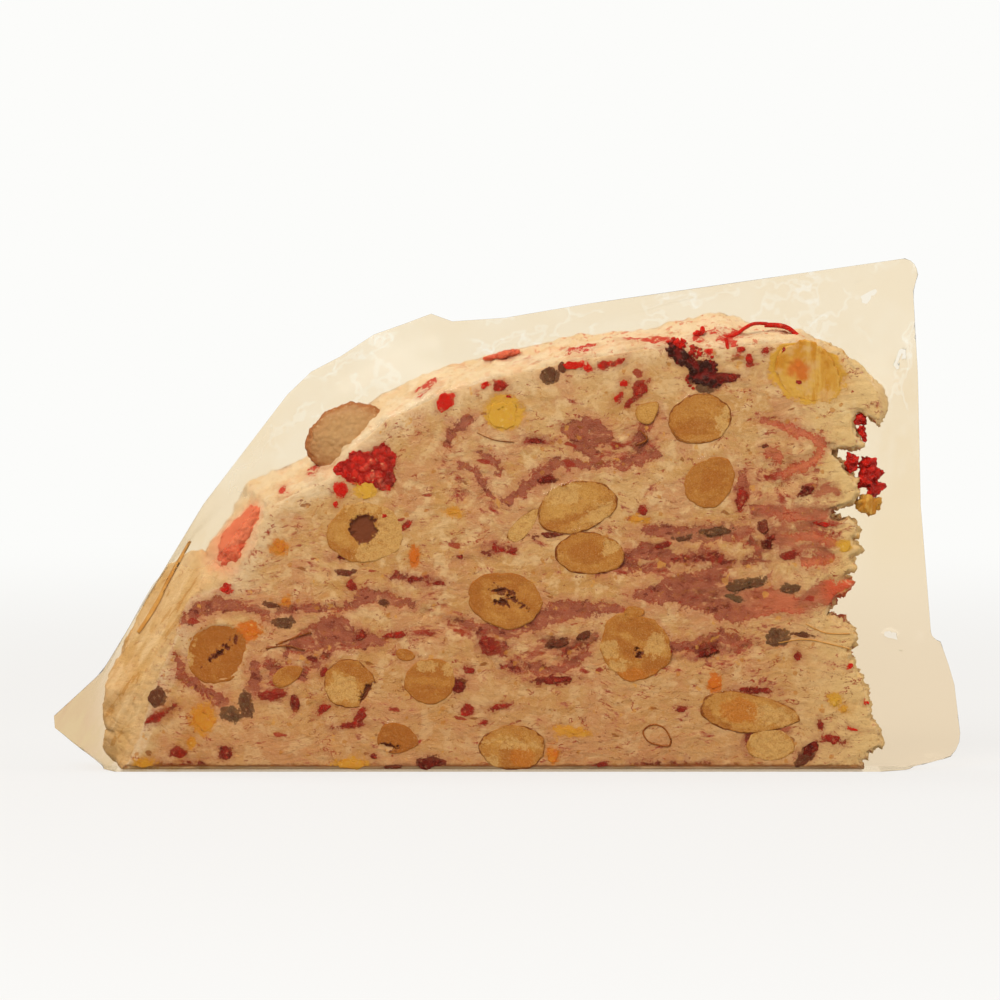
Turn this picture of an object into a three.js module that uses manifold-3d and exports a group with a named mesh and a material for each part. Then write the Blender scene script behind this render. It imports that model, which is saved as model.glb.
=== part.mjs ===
// A slice of soft fruit and nut nougat, sealed in a clear film bag and standing on its flat base.
// The slab of nougat is cut by two upright planes from a domed cake, so its front cut is a little
// smaller than its back cut, its left side slopes and its right side is torn. The bag lies flat on
// both cuts and closes round them in a thin folded edge, with an ear at each bottom corner. The bag
// and what it holds are one closed solid here.
// Millimetres. X runs along the slice, Y from its front cut to its back cut, Z up.
import * as THREE from "three";
import { mergeVertices } from "three/addons/utils/BufferGeometryUtils.js";
import Module from "manifold-3d";

// Driving dimensions.
const SLAB_THICKNESS = 18;
const FRONT_Y = -SLAB_THICKNESS / 2;
const BACK_Y = SLAB_THICKNESS / 2;
const FOLD_HALF = 0.6; // half of the folded edge: both films and the air between them
const FOLD_Y = 2; // the edge is folded a little behind the middle of the slab
const BASE_HALF = SLAB_THICKNESS / 2 - 0.8; // the base stops short of the cuts, by its rounding
const HEART = { x: 0, z: 45 }; // every ring of the skin is drawn round this point
// How far the dome widens from the front cut to the back one, and the hump on the back one's top.
const FLARE = { side: 11, top: 5 };
const HUMP = { x: 42, rise: 3, spread: 14 };
const STATION_STEP = 5; // the longest step between two points of the bag's edge

// The bag's edge, clockwise as seen from the front, with the half thickness and depth of the edge.
const edge = (x, z, half = FOLD_HALF, y = FOLD_Y) => ({ x, z, half, y });
const LEFT_EAR_TOP = [edge(-101, 11.8, FOLD_HALF, 0), edge(-90.3, 21.6, FOLD_HALF, 1)];
const SLOPE = [edge(-67.7, 58.9), edge(-49, 83.3)];
const SHOULDER = [
  edge(-43.7, 88.4),
  edge(-37.2, 91.8),
  edge(-29.7, 96.7),
  edge(-23.4, 98.9),
  edge(-17, 101.3),
  edge(-12.3, 99.6),
];
const TOP_FOLD = [edge(-0.6, 100.4), edge(18.3, 103.6), edge(88.3, 113.6)];
const TOP_CORNER = [edge(90.6, 112.7), edge(91.2, 110), edge(90.1, 106.4)];
const SIDE = [edge(91.2, 88.2), edge(91.9, 58.9), edge(94.3, 29.3, FOLD_HALF, 1)];
const RIGHT_EAR = [
  edge(96.3, 28.4, FOLD_HALF, 0),
  edge(98.1, 23.3, FOLD_HALF, 0),
  edge(99.4, 18.9, FOLD_HALF, 0),
  edge(101, 5.8, FOLD_HALF, 0),
  edge(98.6, 2.7, 1, 0),
  edge(92.8, 1.1, 3, 0),
  edge(88.3, 0.2, 5.5, 0),
];
const BASE = [edge(82.8, 0, BASE_HALF, 0), edge(-87, 0, BASE_HALF, 0)];
const LEFT_EAR_FOOT = [edge(-89.7, 0.4, 5.5, 0), edge(-99.4, 8, 0.8, 0), edge(-100.8, 9.1, FOLD_HALF, 0)];
const BAG_EDGE = [
  ...LEFT_EAR_TOP,
  ...SLOPE,
  ...SHOULDER,
  ...TOP_FOLD,
  ...TOP_CORNER,
  ...SIDE,
  ...RIGHT_EAR,
  ...BASE,
  ...LEFT_EAR_FOOT,
];

// The front cut of the nougat, where the film lies flat on it, clockwise as the bag's edge.
const FRONT_CUT = [
  [-85.5, 1.4],
  [-81.8, 13.4],
  [-76.3, 26.6],
  [-70.1, 38.7],
  [-59.8, 50.7],
  [-39, 68.3],
  [-26.9, 78.2],
  [-14.8, 84.3],
  [4.9, 90.2],
  [20.3, 93.5],
  [40, 96.1],
  [64.1, 97.2],
  [74, 93.5],
  [81.3, 85.8],
  [82.6, 79.2],
  [79.1, 67.2],
  [76.9, 51.8],
  [76.9, 29.9],
  [79.1, 16.7],
  [82.8, 6.9],
  [81.7, 1.4],
].map(([x, z]) => ({ x, z }));

// How many rings of the skin each stretch has, from the middle of the back to that of the front.
const RINGS = { backCut: 4, backSkirt: 3, edge: 3, frontSkirt: 4, frontCut: 6 };

// The cut nuts that stand proud of a cut under the film: the face of the bag, -1 for the front and
// 1 for the back, then centre, half length, half height and turn in degrees.
const NUT_RISE = 0.5; // how far the middle of a nut lifts the film
const CUT_NUTS = [
  [-1, -0.6, 39.3, 7.7, 7.3, 0],
  [-1, -64, 27.3, 7.4, 7.2, 0],
  [-1, 27.3, 27.7, 7.5, 7.5, 0],
  [-1, -31.9, 54.5, 8.4, 8, 0],
  [-1, -34.4, 20.9, 5.8, 5.6, 0],
  [-1, -17.2, 21.3, 5.8, 5.4, 0],
  [-1, 1.2, 7.3, 6.8, 5.4, 0],
  [-1, -24.3, 8.6, 4.2, 3.3, -15],
  [-1, 66, 88.2, 8.5, 7.2, -10],
  [-1, 14.8, 59.5, 11.6, 5.4, 18],
  [-1, 18.1, 50, 7.9, 4.9, 0],
  [-1, 52.7, 14, 11.3, 4.4, -5],
  [-1, 42.2, 78.8, 7.1, 5.7, 18],
  [-1, 44.2, 65.4, 6.2, 4.8, 50],
  [1, -58, 24, 7.4, 7, 0],
  [1, -31, 33, 7.6, 7.2, 0],
  [1, -14, 66, 10.8, 5.6, -22],
  [1, 9, 22, 7.3, 7.5, 0],
  [1, 24, 52, 7.8, 7.2, 0],
  [1, 45, 80, 11, 5.2, 12],
  [1, 58, 34, 7.5, 7, 0],
  [1, 40, 11, 6.8, 5.4, 0],
];

// The sharp creases of the film: a ridge from one point to another on a face of the bag.
const RIDGE = { width: 1.6, rise: 0.45 };
const CREASES = [
  { from: [-16.6, 98.6], to: [-12.6, 91.5], face: -1 },
  { from: [79.6, 30.4], to: [92.6, 31.8], face: -1 },
  { from: [79.5, 14.2], to: [93, 25.2], face: -1 },
  { from: [-84.5, 25.5], to: [-69.5, 50.6], face: -1 },
  { from: [-92.5, 18], to: [-88.2, 4.5], face: -1 },
  { from: [-43, 86], to: [-28, 82.5], face: -1 },
  { from: [84.5, 86], to: [89.8, 97], face: -1 },
  { from: [70, 20], to: [92, 27.5], face: 1 },
  { from: [60, 101], to: [84, 107.5], face: 1 },
];

const wasm = await Module();
wasm.setup();

// A closed three.js geometry as a solid, for joining.
function solidOf(geometry) {
  const bare = geometry.clone();
  bare.deleteAttribute("normal");
  bare.deleteAttribute("uv");
  const merged = mergeVertices(bare, 1e-4);
  return new wasm.Manifold(
    new wasm.Mesh({
      numProp: 3,
      vertProperties: new Float32Array(merged.attributes.position.array),
      triVerts: new Uint32Array(merged.index.array),
    }),
  );
}

function geometryOf(solid) {
  const mesh = solid.getMesh();
  const geometry = new THREE.BufferGeometry();
  geometry.setAttribute("position", new THREE.BufferAttribute(mesh.vertProperties, 3));
  geometry.setIndex(new THREE.BufferAttribute(mesh.triVerts, 1));
  geometry.computeVertexNormals();
  return geometry;
}

const mix = (a, b, t) => a + (b - a) * t;

// Points along the closed edge, with every corner kept and none further apart than the step.
function stations(corners, step) {
  return corners.flatMap((from, i) => {
    const to = corners[(i + 1) % corners.length];
    const pieces = Math.max(1, Math.round(Math.hypot(to.x - from.x, to.z - from.z) / step));
    return Array.from({ length: pieces }, (_, k) => ({
      x: mix(from.x, to.x, k / pieces),
      z: mix(from.z, to.z, k / pieces),
      y: mix(from.y, to.y, k / pieces),
      half: mix(from.half, to.half, k / pieces),
    }));
  });
}

// Where the ray from the heart through a point meets a closed outline.
function onOutline(outline, through) {
  const dx = through.x - HEART.x;
  const dz = through.z - HEART.z;
  for (let i = 0; i < outline.length; i += 1) {
    const a = outline[i];
    const b = outline[(i + 1) % outline.length];
    const ex = b.x - a.x;
    const ez = b.z - a.z;
    const across = dx * ez - dz * ex;
    const along = ((a.x - HEART.x) * ez - (a.z - HEART.z) * ex) / across;
    const part = ((a.x - HEART.x) * dz - (a.z - HEART.z) * dx) / across;
    if (along > 0 && part >= 0 && part <= 1) {
      return { x: HEART.x + dx * along, z: HEART.z + dz * along };
    }
  }
  throw new Error("the outline doesn't go round the heart");
}

// The back cut is the front one widened: most on the sloping left, less on top, not at the tear.
function backCut(point) {
  const left = THREE.MathUtils.smoothstep(-point.x, -10, 60);
  const above = THREE.MathUtils.smoothstep(point.z, 15, 80);
  const low = THREE.MathUtils.smoothstep(point.z, 0, 12);
  const onTop = above * THREE.MathUtils.smoothstep(-point.x, -74, -40);
  const hump = HUMP.rise * Math.exp(-(((point.x - HUMP.x) / HUMP.spread) ** 2));
  return {
    x: point.x - FLARE.side * left * mix(1, 0.55, above) * low,
    z: point.z + (FLARE.top + hump) * onTop,
  };
}

// One column of the skin, from the middle of the back round the bag's edge to that of the front.
function column(at) {
  const front = onOutline(FRONT_CUT, at);
  const back = backCut(front);
  const stops = [
    { x: HEART.x, z: HEART.z, y: BACK_Y },
    { x: back.x, z: back.z, y: BACK_Y, rings: RINGS.backCut },
    { x: at.x, z: at.z, y: at.y + at.half, rings: RINGS.backSkirt },
    { x: at.x, z: at.z, y: at.y - at.half, rings: RINGS.edge },
    { x: front.x, z: front.z, y: FRONT_Y, rings: RINGS.frontSkirt },
    { x: HEART.x, z: HEART.z, y: FRONT_Y, rings: RINGS.frontCut },
  ];
  const points = [stops[0]];
  for (let i = 1; i < stops.length; i += 1) {
    for (let k = 1; k <= stops[i].rings; k += 1) {
      const t = k / stops[i].rings;
      points.push({
        x: mix(stops[i - 1].x, stops[i].x, t),
        y: mix(stops[i - 1].y, stops[i].y, t),
        z: mix(stops[i - 1].z, stops[i].z, t),
      });
    }
  }
  return points;
}

// The bag's skin: a sphere's rings and columns, moved to the bag's shape, its poles the middles of
// the two cuts.
function bagSkin() {
  const columns = stations(BAG_EDGE, STATION_STEP).map(column);
  const rings = columns[0].length - 1;
  const skin = new THREE.SphereGeometry(1, columns.length, rings);
  const position = skin.attributes.position;
  for (let ring = 0; ring <= rings; ring += 1) {
    for (let i = 0; i <= columns.length; i += 1) {
      const p = columns[i % columns.length][ring];
      position.setXYZ(ring * (columns.length + 1) + i, p.x, p.y, p.z);
    }
  }
  return skin;
}

// A nut's low rise under the film: a flat ellipsoid with its middle in the cut.
function nutRise([face, x, z, halfLength, halfHeight, turn]) {
  const rise = new THREE.SphereGeometry(1, 14, 8);
  rise.scale(halfLength, NUT_RISE, halfHeight);
  rise.rotateY(-THREE.MathUtils.degToRad(turn));
  rise.translate(x, face < 0 ? FRONT_Y : BACK_Y, z);
  return rise;
}

// The depth of the skin at a point of one face of the bag, between its cut and its edge.
function depthAt(x, z, face) {
  const at = { x, z };
  const front = onOutline(FRONT_CUT, at);
  const cut = face < 0 ? front : backCut(front);
  const rim = onOutline(BAG_EDGE, at);
  const reach = (p) => Math.hypot(p.x - HEART.x, p.z - HEART.z);
  const t = THREE.MathUtils.clamp((reach(at) - reach(cut)) / (reach(rim) - reach(cut)), 0, 1);
  return mix(face < 0 ? FRONT_Y : BACK_Y, FOLD_Y + face * FOLD_HALF, t);
}

// A crease: a long, thin eight-sided sliver lying half sunk in the face of the bag.
function crease({ from, to, face }) {
  const start = new THREE.Vector3(from[0], depthAt(...from, face), from[1]);
  const end = new THREE.Vector3(to[0], depthAt(...to, face), to[1]);
  const sliver = new THREE.OctahedronGeometry(1);
  sliver.scale(start.distanceTo(end) / 2, RIDGE.rise, RIDGE.width / 2);
  const along = end.clone().sub(start).normalize();
  const outward = new THREE.Vector3(0, 1, 0).addScaledVector(along, -along.y).normalize();
  const sideways = new THREE.Vector3().crossVectors(along, outward);
  const middle = start.lerp(end, 0.5);
  sliver.applyMatrix4(new THREE.Matrix4().makeBasis(along, outward, sideways).setPosition(middle));
  return sliver;
}

const reliefs = [...CUT_NUTS.map(nutRise), ...CREASES.map(crease)];
const bag = reliefs.reduce((solid, relief) => solid.add(solidOf(relief)), solidOf(bagSkin()));

const cream = new THREE.MeshStandardMaterial({ color: 0xd9b98c, roughness: 0.35, metalness: 0 });
const wrappedSlice = new THREE.Mesh(geometryOf(bag), cream);
wrappedSlice.name = "wrapped_slice";

const slice = new THREE.Group();
slice.add(wrappedSlice);

export default slice;
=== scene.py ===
# %% [markdown]
# # A slice of fruit and nut nougat in a clear film bag
#
# The real thing is a slab cut from a domed cake of soft nougat. Two straight cuts show what was
# stirred into it: hazelnuts, almonds, berries, candied fruit and purple streaks of berry mash. The
# slab stands on its long flat base, sealed in a thin, slightly milky film.
#
# The order here is the maker's: the stage and the camera, then the nougat, then each thing that is
# set in it, and the film last.

# %% Setup
import math
import random
from dataclasses import dataclass

import bmesh
import bpy
import numpy as np
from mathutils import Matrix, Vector, noise
from mathutils.bvhtree import BVHTree


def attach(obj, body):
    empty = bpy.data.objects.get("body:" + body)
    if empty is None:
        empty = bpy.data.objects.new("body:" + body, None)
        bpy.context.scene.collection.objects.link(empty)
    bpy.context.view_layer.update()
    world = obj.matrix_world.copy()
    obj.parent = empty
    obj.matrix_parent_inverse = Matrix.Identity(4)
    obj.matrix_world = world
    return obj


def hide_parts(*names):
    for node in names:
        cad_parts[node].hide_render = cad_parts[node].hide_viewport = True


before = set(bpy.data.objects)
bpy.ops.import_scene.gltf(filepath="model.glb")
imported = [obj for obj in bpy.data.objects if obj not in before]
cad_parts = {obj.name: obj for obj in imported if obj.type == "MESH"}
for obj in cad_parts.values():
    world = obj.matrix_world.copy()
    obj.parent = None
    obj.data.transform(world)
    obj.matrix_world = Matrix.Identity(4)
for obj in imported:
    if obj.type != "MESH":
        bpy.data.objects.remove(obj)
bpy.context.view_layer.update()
MM = 0.001  # the places below are in millimetres, and Blender's are in metres
SEED = 11
noise.seed_set(SEED)  # the vector noise takes its start from the clock otherwise
NODE = "wrapped_slice"

# %% [markdown]
# ## Helpers for node trees
#
# A material in code is a chain of nodes. One short function that makes a node, sets its values and
# links what is already a socket keeps each material down to the lines that say something.

# %% Node helpers
def put(tree, kind, links=None, **settings):
    """A new node: settings are its properties, and links its inputs, as sockets or plain values."""
    node = tree.nodes.new("ShaderNode" + kind)
    for name, value in settings.items():
        setattr(node, name, value)
    for name, value in (links or {}).items():
        if isinstance(value, bpy.types.NodeSocket):
            tree.links.new(value, node.inputs[name])
        else:
            node.inputs[name].default_value = value
    return node


def maths(tree, operation, *values, clamp=False):
    """The result of one Math node."""
    return put(tree, "Math", dict(enumerate(values)), operation=operation, use_clamp=clamp).outputs[0]


def times(tree, one, other):
    return maths(tree, "MULTIPLY", one, other)


def axes(tree, place):
    """The X, Y and Z of a place."""
    return put(tree, "SeparateXYZ", {"Vector": place}).outputs


def away_from(tree, place, spot):
    """How far a place is from a spot, in millimetres."""
    return put(tree, "VectorMath", {0: place, 1: spot}, operation="DISTANCE").outputs["Value"]


def moved_by(tree, place, noise_colour, far):
    """A place moved by a noise's colour."""
    shift = put(tree, "VectorMath", {0: noise_colour, 1: (far, far, far)}, operation="MULTIPLY")
    return put(tree, "VectorMath", {0: place, 1: shift.outputs[0]}, operation="ADD").outputs[0]


def blend_colour(tree, share, under, over):
    """One colour laid over another by a mask."""
    colours = {0: share, 6: under, 7: over}  # a Mix node has its colour sockets at these places
    return put(tree, "Mix", colours, data_type="RGBA", clamp_factor=True).outputs[2]


def swing(tree, level, far):
    """A noise's level, made to swing both ways from 0."""
    return times(tree, maths(tree, "SUBTRACT", level, 0.5), far)


def ramp(tree, value, low, high, to_low=0.0, to_high=1.0):
    """A value's soft step from one level to another."""
    links = {"Value": value, "From Min": low, "From Max": high, "To Min": to_low, "To Max": to_high}
    return put(tree, "MapRange", links, interpolation_type="SMOOTHSTEP").outputs[0]


def colour(red, green, blue):
    """A colour given as it is seen on a screen, 0 to 255, as the linear light that nodes use."""
    def linear(level):
        share = level / 255
        return share / 12.92 if share <= 0.04045 else ((share + 0.055) / 1.055) ** 2.4

    return (linear(red), linear(green), linear(blue), 1.0)


FILM_PASS = (0.955, 0.884, 0.76)  # how much red, green and blue light one sheet of the film lets through
SEEN_PASS = (0.955, 0.902, 0.84)  # the same with what the walls of the bag throw back into it


def seen(red, green, blue):
    """The true colour of what looks like this under the film, which tints light on its way in and out."""
    through = zip(colour(red, green, blue), SEEN_PASS)
    return tuple(min(0.95, level / share**2) for level, share in through) + (1.0,)


def group(name, inputs, outputs):
    """An empty shader node group with named sockets, and its input and output nodes."""
    tree = bpy.data.node_groups.new(name, "ShaderNodeTree")
    kinds = {"V": "NodeSocketVector", "F": "NodeSocketFloat", "C": "NodeSocketColor"}
    for label, kind in inputs:
        tree.interface.new_socket(label, in_out="INPUT", socket_type=kinds[kind])
    for label, kind in outputs:
        tree.interface.new_socket(label, in_out="OUTPUT", socket_type=kinds[kind])
    return tree, tree.nodes.new("NodeGroupInput").outputs, tree.nodes.new("NodeGroupOutput").inputs


def use(tree, made, links):
    """A group placed in a material, with its own values, as its outputs."""
    return put(tree, "Group", links, node_tree=made).outputs


# %% [markdown]
# ## Effects that several finishes share
#
# Nougat, nuts and berries all need the same few things: colour that drifts, stray flecks, a ragged
# edge between two colours, and a crumbly surface. Each is a node group, built once, that gives out
# only a mask, a colour or a height. Distances are in millimetres, as on the object.

# %% Shared effects
def build_flecks():
    """Small spots, each in its own cell, of which only a share shows."""
    inputs = [("Place", "V"), ("Per mm", "F"), ("Share", "F"), ("Radius", "F")]
    tree, got, out = group("flecks", inputs, [("Mask", "F")])
    bend = put(tree, "TexNoise", {"Vector": got["Place"], "Scale": 1.7, "Detail": 2.0})
    place = moved_by(tree, got["Place"], bend.outputs["Color"], 0.9)
    cells = put(tree, "TexVoronoi", {"Vector": place, "Scale": got["Per mm"]})
    pick = put(tree, "SeparateColor", {"Color": cells.outputs["Color"]})
    shown = maths(tree, "LESS_THAN", pick.outputs[0], got["Share"])
    size = times(tree, got["Radius"], maths(tree, "ADD", 0.45, pick.outputs[1]))
    inside = ramp(tree, maths(tree, "DIVIDE", cells.outputs["Distance"], size), 1.0, 0.72)
    tree.links.new(times(tree, shown, inside), out["Mask"])
    return tree


def build_ragged():
    """A mask that is 1 where a distance is below 0, with an edge torn by noise."""
    inputs = [("Place", "V"), ("Distance", "F"), ("Tear", "F"), ("Soft", "F")]
    tree, got, out = group("ragged_edge", inputs, [("Mask", "F")])
    look = {"Vector": got["Place"], "Scale": 0.5, "Detail": 7.0, "Roughness": 0.74}
    coarse = put(tree, "TexNoise", look)
    edge = maths(tree, "ADD", got["Distance"], swing(tree, coarse.outputs["Fac"], got["Tear"]))
    tree.links.new(ramp(tree, edge, got["Soft"], 0.0), out["Mask"])
    return tree


def build_drift():
    """One colour that drifts into another in soft clouds."""
    inputs = [("Place", "V"), ("Per mm", "F"), ("One", "C"), ("Other", "C"), ("Bias", "F")]
    tree, got, out = group("drift", inputs, [("Colour", "C")])
    soft = put(tree, "TexNoise", {"Vector": got["Place"], "Scale": got["Per mm"], "Detail": 4.0})
    share = ramp(tree, maths(tree, "ADD", soft.outputs["Fac"], got["Bias"]), 0.34, 0.66)
    tree.links.new(blend_colour(tree, share, got["One"], got["Other"]), out["Colour"])
    return tree


def build_crumb():
    """The height of a fine, uneven, crumbly surface, in millimetres."""
    tree, got, out = group("crumb", [("Place", "V"), ("Per mm", "F"), ("Depth", "F")], [("Height", "F")])
    look = {"Vector": got["Place"], "Scale": got["Per mm"], "Detail": 6.0, "Roughness": 0.62}
    grain = put(tree, "TexNoise", look)
    tree.links.new(times(tree, grain.outputs["Fac"], got["Depth"]), out["Height"])
    return tree


FLECKS, RAGGED, DRIFT, CRUMB = build_flecks(), build_ragged(), build_drift(), build_crumb()
print("shared effects:", [made.name for made in (FLECKS, RAGGED, DRIFT, CRUMB)])


def flecks(tree, place, per_mm, share, radius):
    return use(tree, FLECKS, {"Place": place, "Per mm": per_mm, "Share": share, "Radius": radius})[0]


def torn_edge(tree, place, away, tear, soft):
    return use(tree, RAGGED, {"Place": place, "Distance": away, "Tear": tear, "Soft": soft})[0]


def drift(tree, place, per_mm, one, other, bias):
    links = {"Place": place, "Per mm": per_mm, "One": one, "Other": other, "Bias": bias}
    return use(tree, DRIFT, links)[0]


def crumb(tree, place, per_mm, depth):
    return use(tree, CRUMB, {"Place": place, "Per mm": per_mm, "Depth": depth})[0]


# %% A new material, with its place in millimetres
def begin(name):
    """An empty material with a Principled shader, and the object's place in millimetres."""
    made = bpy.data.materials.new(name)
    made.use_nodes = True
    tree = made.node_tree
    tree.nodes.clear()
    shader = put(tree, "BsdfPrincipled")
    output = put(tree, "OutputMaterial", {"Surface": shader.outputs[0]})
    spot = put(tree, "TexCoord").outputs["Object"]
    place = put(tree, "Mapping", {"Vector": spot, "Scale": (1 / MM, 1 / MM, 1 / MM)}).outputs[0]
    return made, tree, shader, output, place


def attribute(tree, name):
    """A number that the mesh carries at each of its points."""
    return put(tree, "Attribute", attribute_name=name, attribute_type="GEOMETRY").outputs["Fac"]


def roughen(tree, shader, height, strength=1.0):
    """A bump from a height in millimetres."""
    node = put(tree, "Bump", {"Height": height, "Strength": strength, "Distance": MM})
    tree.links.new(node.outputs[0], shader.inputs["Normal"])


def dress(tree, shader, base, rough, specular):
    """A shader's colour, with plain numbers for how rough and how reflecting it is."""
    tree.links.new(base, shader.inputs["Base Color"])
    shader.inputs["Roughness"].default_value = rough
    shader.inputs["Specular IOR Level"].default_value = specular


# %% [markdown]
# ## Stage, light and camera
#
# The slice stands on white and is lit from above and behind, so that its cut lies in soft warm
# shade. White surroundings that only the camera sees, with a dimmer light for the surfaces, give
# that without a dark horizon.

# %% Stage
NEAR_FLOOR, FAR_FLOOR = colour(249, 247, 244), colour(252, 252, 250)
FLOOR_SIZE = 40.0
FLOOR_MATT = 0.15  # the share of the floor's look that is lamplight, so the slice's shadow is faint
FLOOR_LIT = 1.4  # how bright the lamps and surroundings make a white floor


def mesh_from(name, bm):
    """A new mesh from a finished bmesh."""
    mesh = bpy.data.meshes.new(name)
    bm.to_mesh(mesh)
    bm.free()
    return mesh


def in_scene(name, data):
    """A new object, linked to the scene."""
    made = bpy.data.objects.new(name, data)
    bpy.context.scene.collection.objects.link(made)
    return made


def stage_floor():
    """A wide pale floor that grows as bright as the surroundings further away."""
    bm = bmesh.new()
    bmesh.ops.create_grid(bm, x_segments=2, y_segments=2, size=FLOOR_SIZE)
    floor = in_scene("floor", mesh_from("floor", bm))
    made, tree, shader, _, place = begin("floor_white")
    away = put(tree, "VectorMath", {0: place}, operation="LENGTH").outputs["Value"]
    fade = ramp(tree, away, 180, 900)
    near = tuple(level - FLOOR_MATT * FLOOR_LIT for level in NEAR_FLOOR[:3]) + (1.0,)
    matt = (FLOOR_MATT, FLOOR_MATT, FLOOR_MATT, 1.0)
    dress(tree, shader, blend_colour(tree, fade, matt, (0, 0, 0, 1)), 0.9, 0.0)
    tree.links.new(blend_colour(tree, fade, near, FAR_FLOOR), shader.inputs["Emission Color"])
    lit = put(tree, "LightPath").outputs["Is Diffuse Ray"]
    glow = put(tree, "MapRange", {"Value": lit, "To Min": 1.0, "To Max": 0.35}).outputs[0]
    tree.links.new(glow, shader.inputs["Emission Strength"])
    floor.data.materials.append(made)
    return floor


LAMPS = [  # name, place, size, watts
    ("key", (-0.35, 0.25, 0.85), 0.6, 2.6),
    ("fill", (-0.35, -0.9, 0.85), 0.6, 11.2),
    ("side", (0.9, -0.1, 0.4), 0.5, 3.2),
]


def light_the_stage():
    """Surroundings that are white to the eye and dimmer to the surfaces, and soft lamps."""
    world = bpy.data.worlds.new("surroundings")
    world.use_nodes = True
    tree = world.node_tree
    tree.nodes.clear()
    path = put(tree, "LightPath").outputs
    white = put(tree, "Background", {"Color": FAR_FLOOR, "Strength": 1.0})
    strength = put(tree, "MapRange", {"Value": path["Is Glossy Ray"], "To Min": 0.42, "To Max": 0.8})
    dim = put(tree, "Background", {"Color": (1.0, 0.98, 0.95, 1), "Strength": strength.outputs[0]})
    direct = maths(tree, "MAXIMUM", path["Is Camera Ray"], path["Is Transmission Ray"])
    both = put(tree, "MixShader", {0: direct, 1: dim.outputs[0], 2: white.outputs[0]})
    put(tree, "OutputWorld", {"Surface": both.outputs[0]})
    bpy.context.scene.world = world
    for name, place, size, watts in LAMPS:
        data = bpy.data.lights.new(name, "AREA")
        data.size, data.energy = size, watts
        lamp = in_scene(name, data)
        lamp.location = place
        aim = Vector((0, 0, 0.05)) - lamp.location
        lamp.rotation_euler = aim.to_track_quat("-Z", "Y").to_euler()


CAMERA_BACK = 2.0
CAMERA_RISE = math.radians(3.0)
SENSOR = 36
SEEN_WIDTH = 0.2213  # how wide the view is at the front cut
SEEN_MIDDLE = Vector((-0.0017, -0.009, 0.0604))


def place_camera():
    data = bpy.data.cameras.new("camera")
    data.sensor_width = SENSOR
    data.lens = SENSOR * CAMERA_BACK / SEEN_WIDTH
    camera = in_scene("camera", data)
    back = Vector((0, -math.cos(CAMERA_RISE), math.sin(CAMERA_RISE)))
    camera.location = SEEN_MIDDLE + CAMERA_BACK * back
    camera.rotation_euler = (-back).to_track_quat("-Z", "Y").to_euler()
    bpy.context.scene.camera = camera


bpy.context.scene.view_settings.view_transform = "Standard"
stage_floor()
light_the_stage()
place_camera()
print("camera", CAMERA_BACK, "m from the cut")

# %% [markdown]
# ## The slab's outline
#
# The front cut is drawn as a line of points: the base, the dome's slope on the left, its top, and
# the torn end on the right with a flap and a split. The back cut is the same line widened, because
# the cake is a dome and the slice was cut off-centre.

# %% Outline of the cuts
FRONT, BACK = -8.7, 8.7  # where the two cuts lie, just inside the film
BASE_Z = 0.16
DOME = [
    (-86, 0.5), (-82, 8), (-78.2, 19.8), (-74.6, 28.7), (-71.4, 38.7), (-60.2, 43), (-56.8, 49.8),
    (-53.2, 59.8), (-38.3, 66.6), (-36.1, 70.9), (-27.2, 78.7), (-15, 84.2), (-3.9, 87.6), (11.7, 91.3),
    (29.4, 94.5), (47.2, 94.8), (56.1, 95.6), (65, 96.2), (73.9, 93.1), (80.2, 87.6),
]  # fmt: skip
TORN_END = [
    (83.2, 84.9), (84.2, 81.6), (83.4, 77.8), (82.5, 76.6), (80.9, 78), (79.2, 79.3), (76.8, 80.2),
    (77.2, 75.1), (78.3, 72.4), (76.6, 71.2), (73.4, 71.8), (69.4, 72.8), (72.1, 70.8), (74, 69),
    (75.3, 67.2),
    (77.2, 64.7), (77.9, 62.4), (77.2, 60.7), (76.6, 59.4), (73.4, 58.5), (70.1, 57.3), (73.4, 56.3),
    (77.2, 55.1), (77.8, 52.6), (76.0, 51.3), (77.8, 49.6), (76.1, 47.4), (77.2, 45.6), (74.6, 43),
    (76.8, 41.6), (75.7, 40), (73.4, 39.2), (72.3, 37.1), (70.6, 35.6), (73, 34), (74.7, 32.8),
    (77.2, 31.6),
    (77.5, 29.8), (77.2, 27.6), (75.7, 26.2), (77.2, 22.7), (79.6, 18.7), (80.2, 15), (80.8, 12.2),
    (83.4, 7), (82.8, 5.3), (79.8, 3.8), (78.4, 2.4), (79.4, 0.5),
]  # fmt: skip
FLARE_SIDE, FLARE_TOP, HUMP, HUMP_X, HUMP_SPREAD = 9.8, 5.4, 6.0, 43, 11


def smoothstep(low, high, value):
    t = np.clip((value - low) / (high - low), 0, 1)
    return t * t * (3 - 2 * t)


def widened(x, z, share=1.0):
    """Where a point of the front cut's plane lies on the dome at a share of the way to the back."""
    left = smoothstep(10, 60, -x)
    above = smoothstep(15, 80, z)
    top = FLARE_TOP - 3.0 * smoothstep(8, 26, x) + HUMP * np.exp(-(((x - HUMP_X) / HUMP_SPREAD) ** 2))
    top = above * smoothstep(-74, -62, -x) * top
    side = FLARE_SIDE * left * (1 - 0.45 * above) * smoothstep(0, 12, z)
    return x - share * side, z + share * top


print("outline points:", len(DOME) + len(TORN_END))

# %% [markdown]
# ## Everything that is set in the cut
#
# The nougat has to know where its nuts and smears are, to sink a little round the one and take the
# colour of the other. So they are listed first: a nut as its middle, half width, half height and
# turn, with the marks it carries, and a smear as a line of points, each with its own half width.

# %% Nuts in the cuts
def along_axes(dx, dz, degrees):
    """A step in the cut's plane, measured along axes that are turned."""
    a = math.radians(degrees)
    return dx * math.cos(a) + dz * math.sin(a), -dx * math.sin(a) + dz * math.cos(a)


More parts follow.
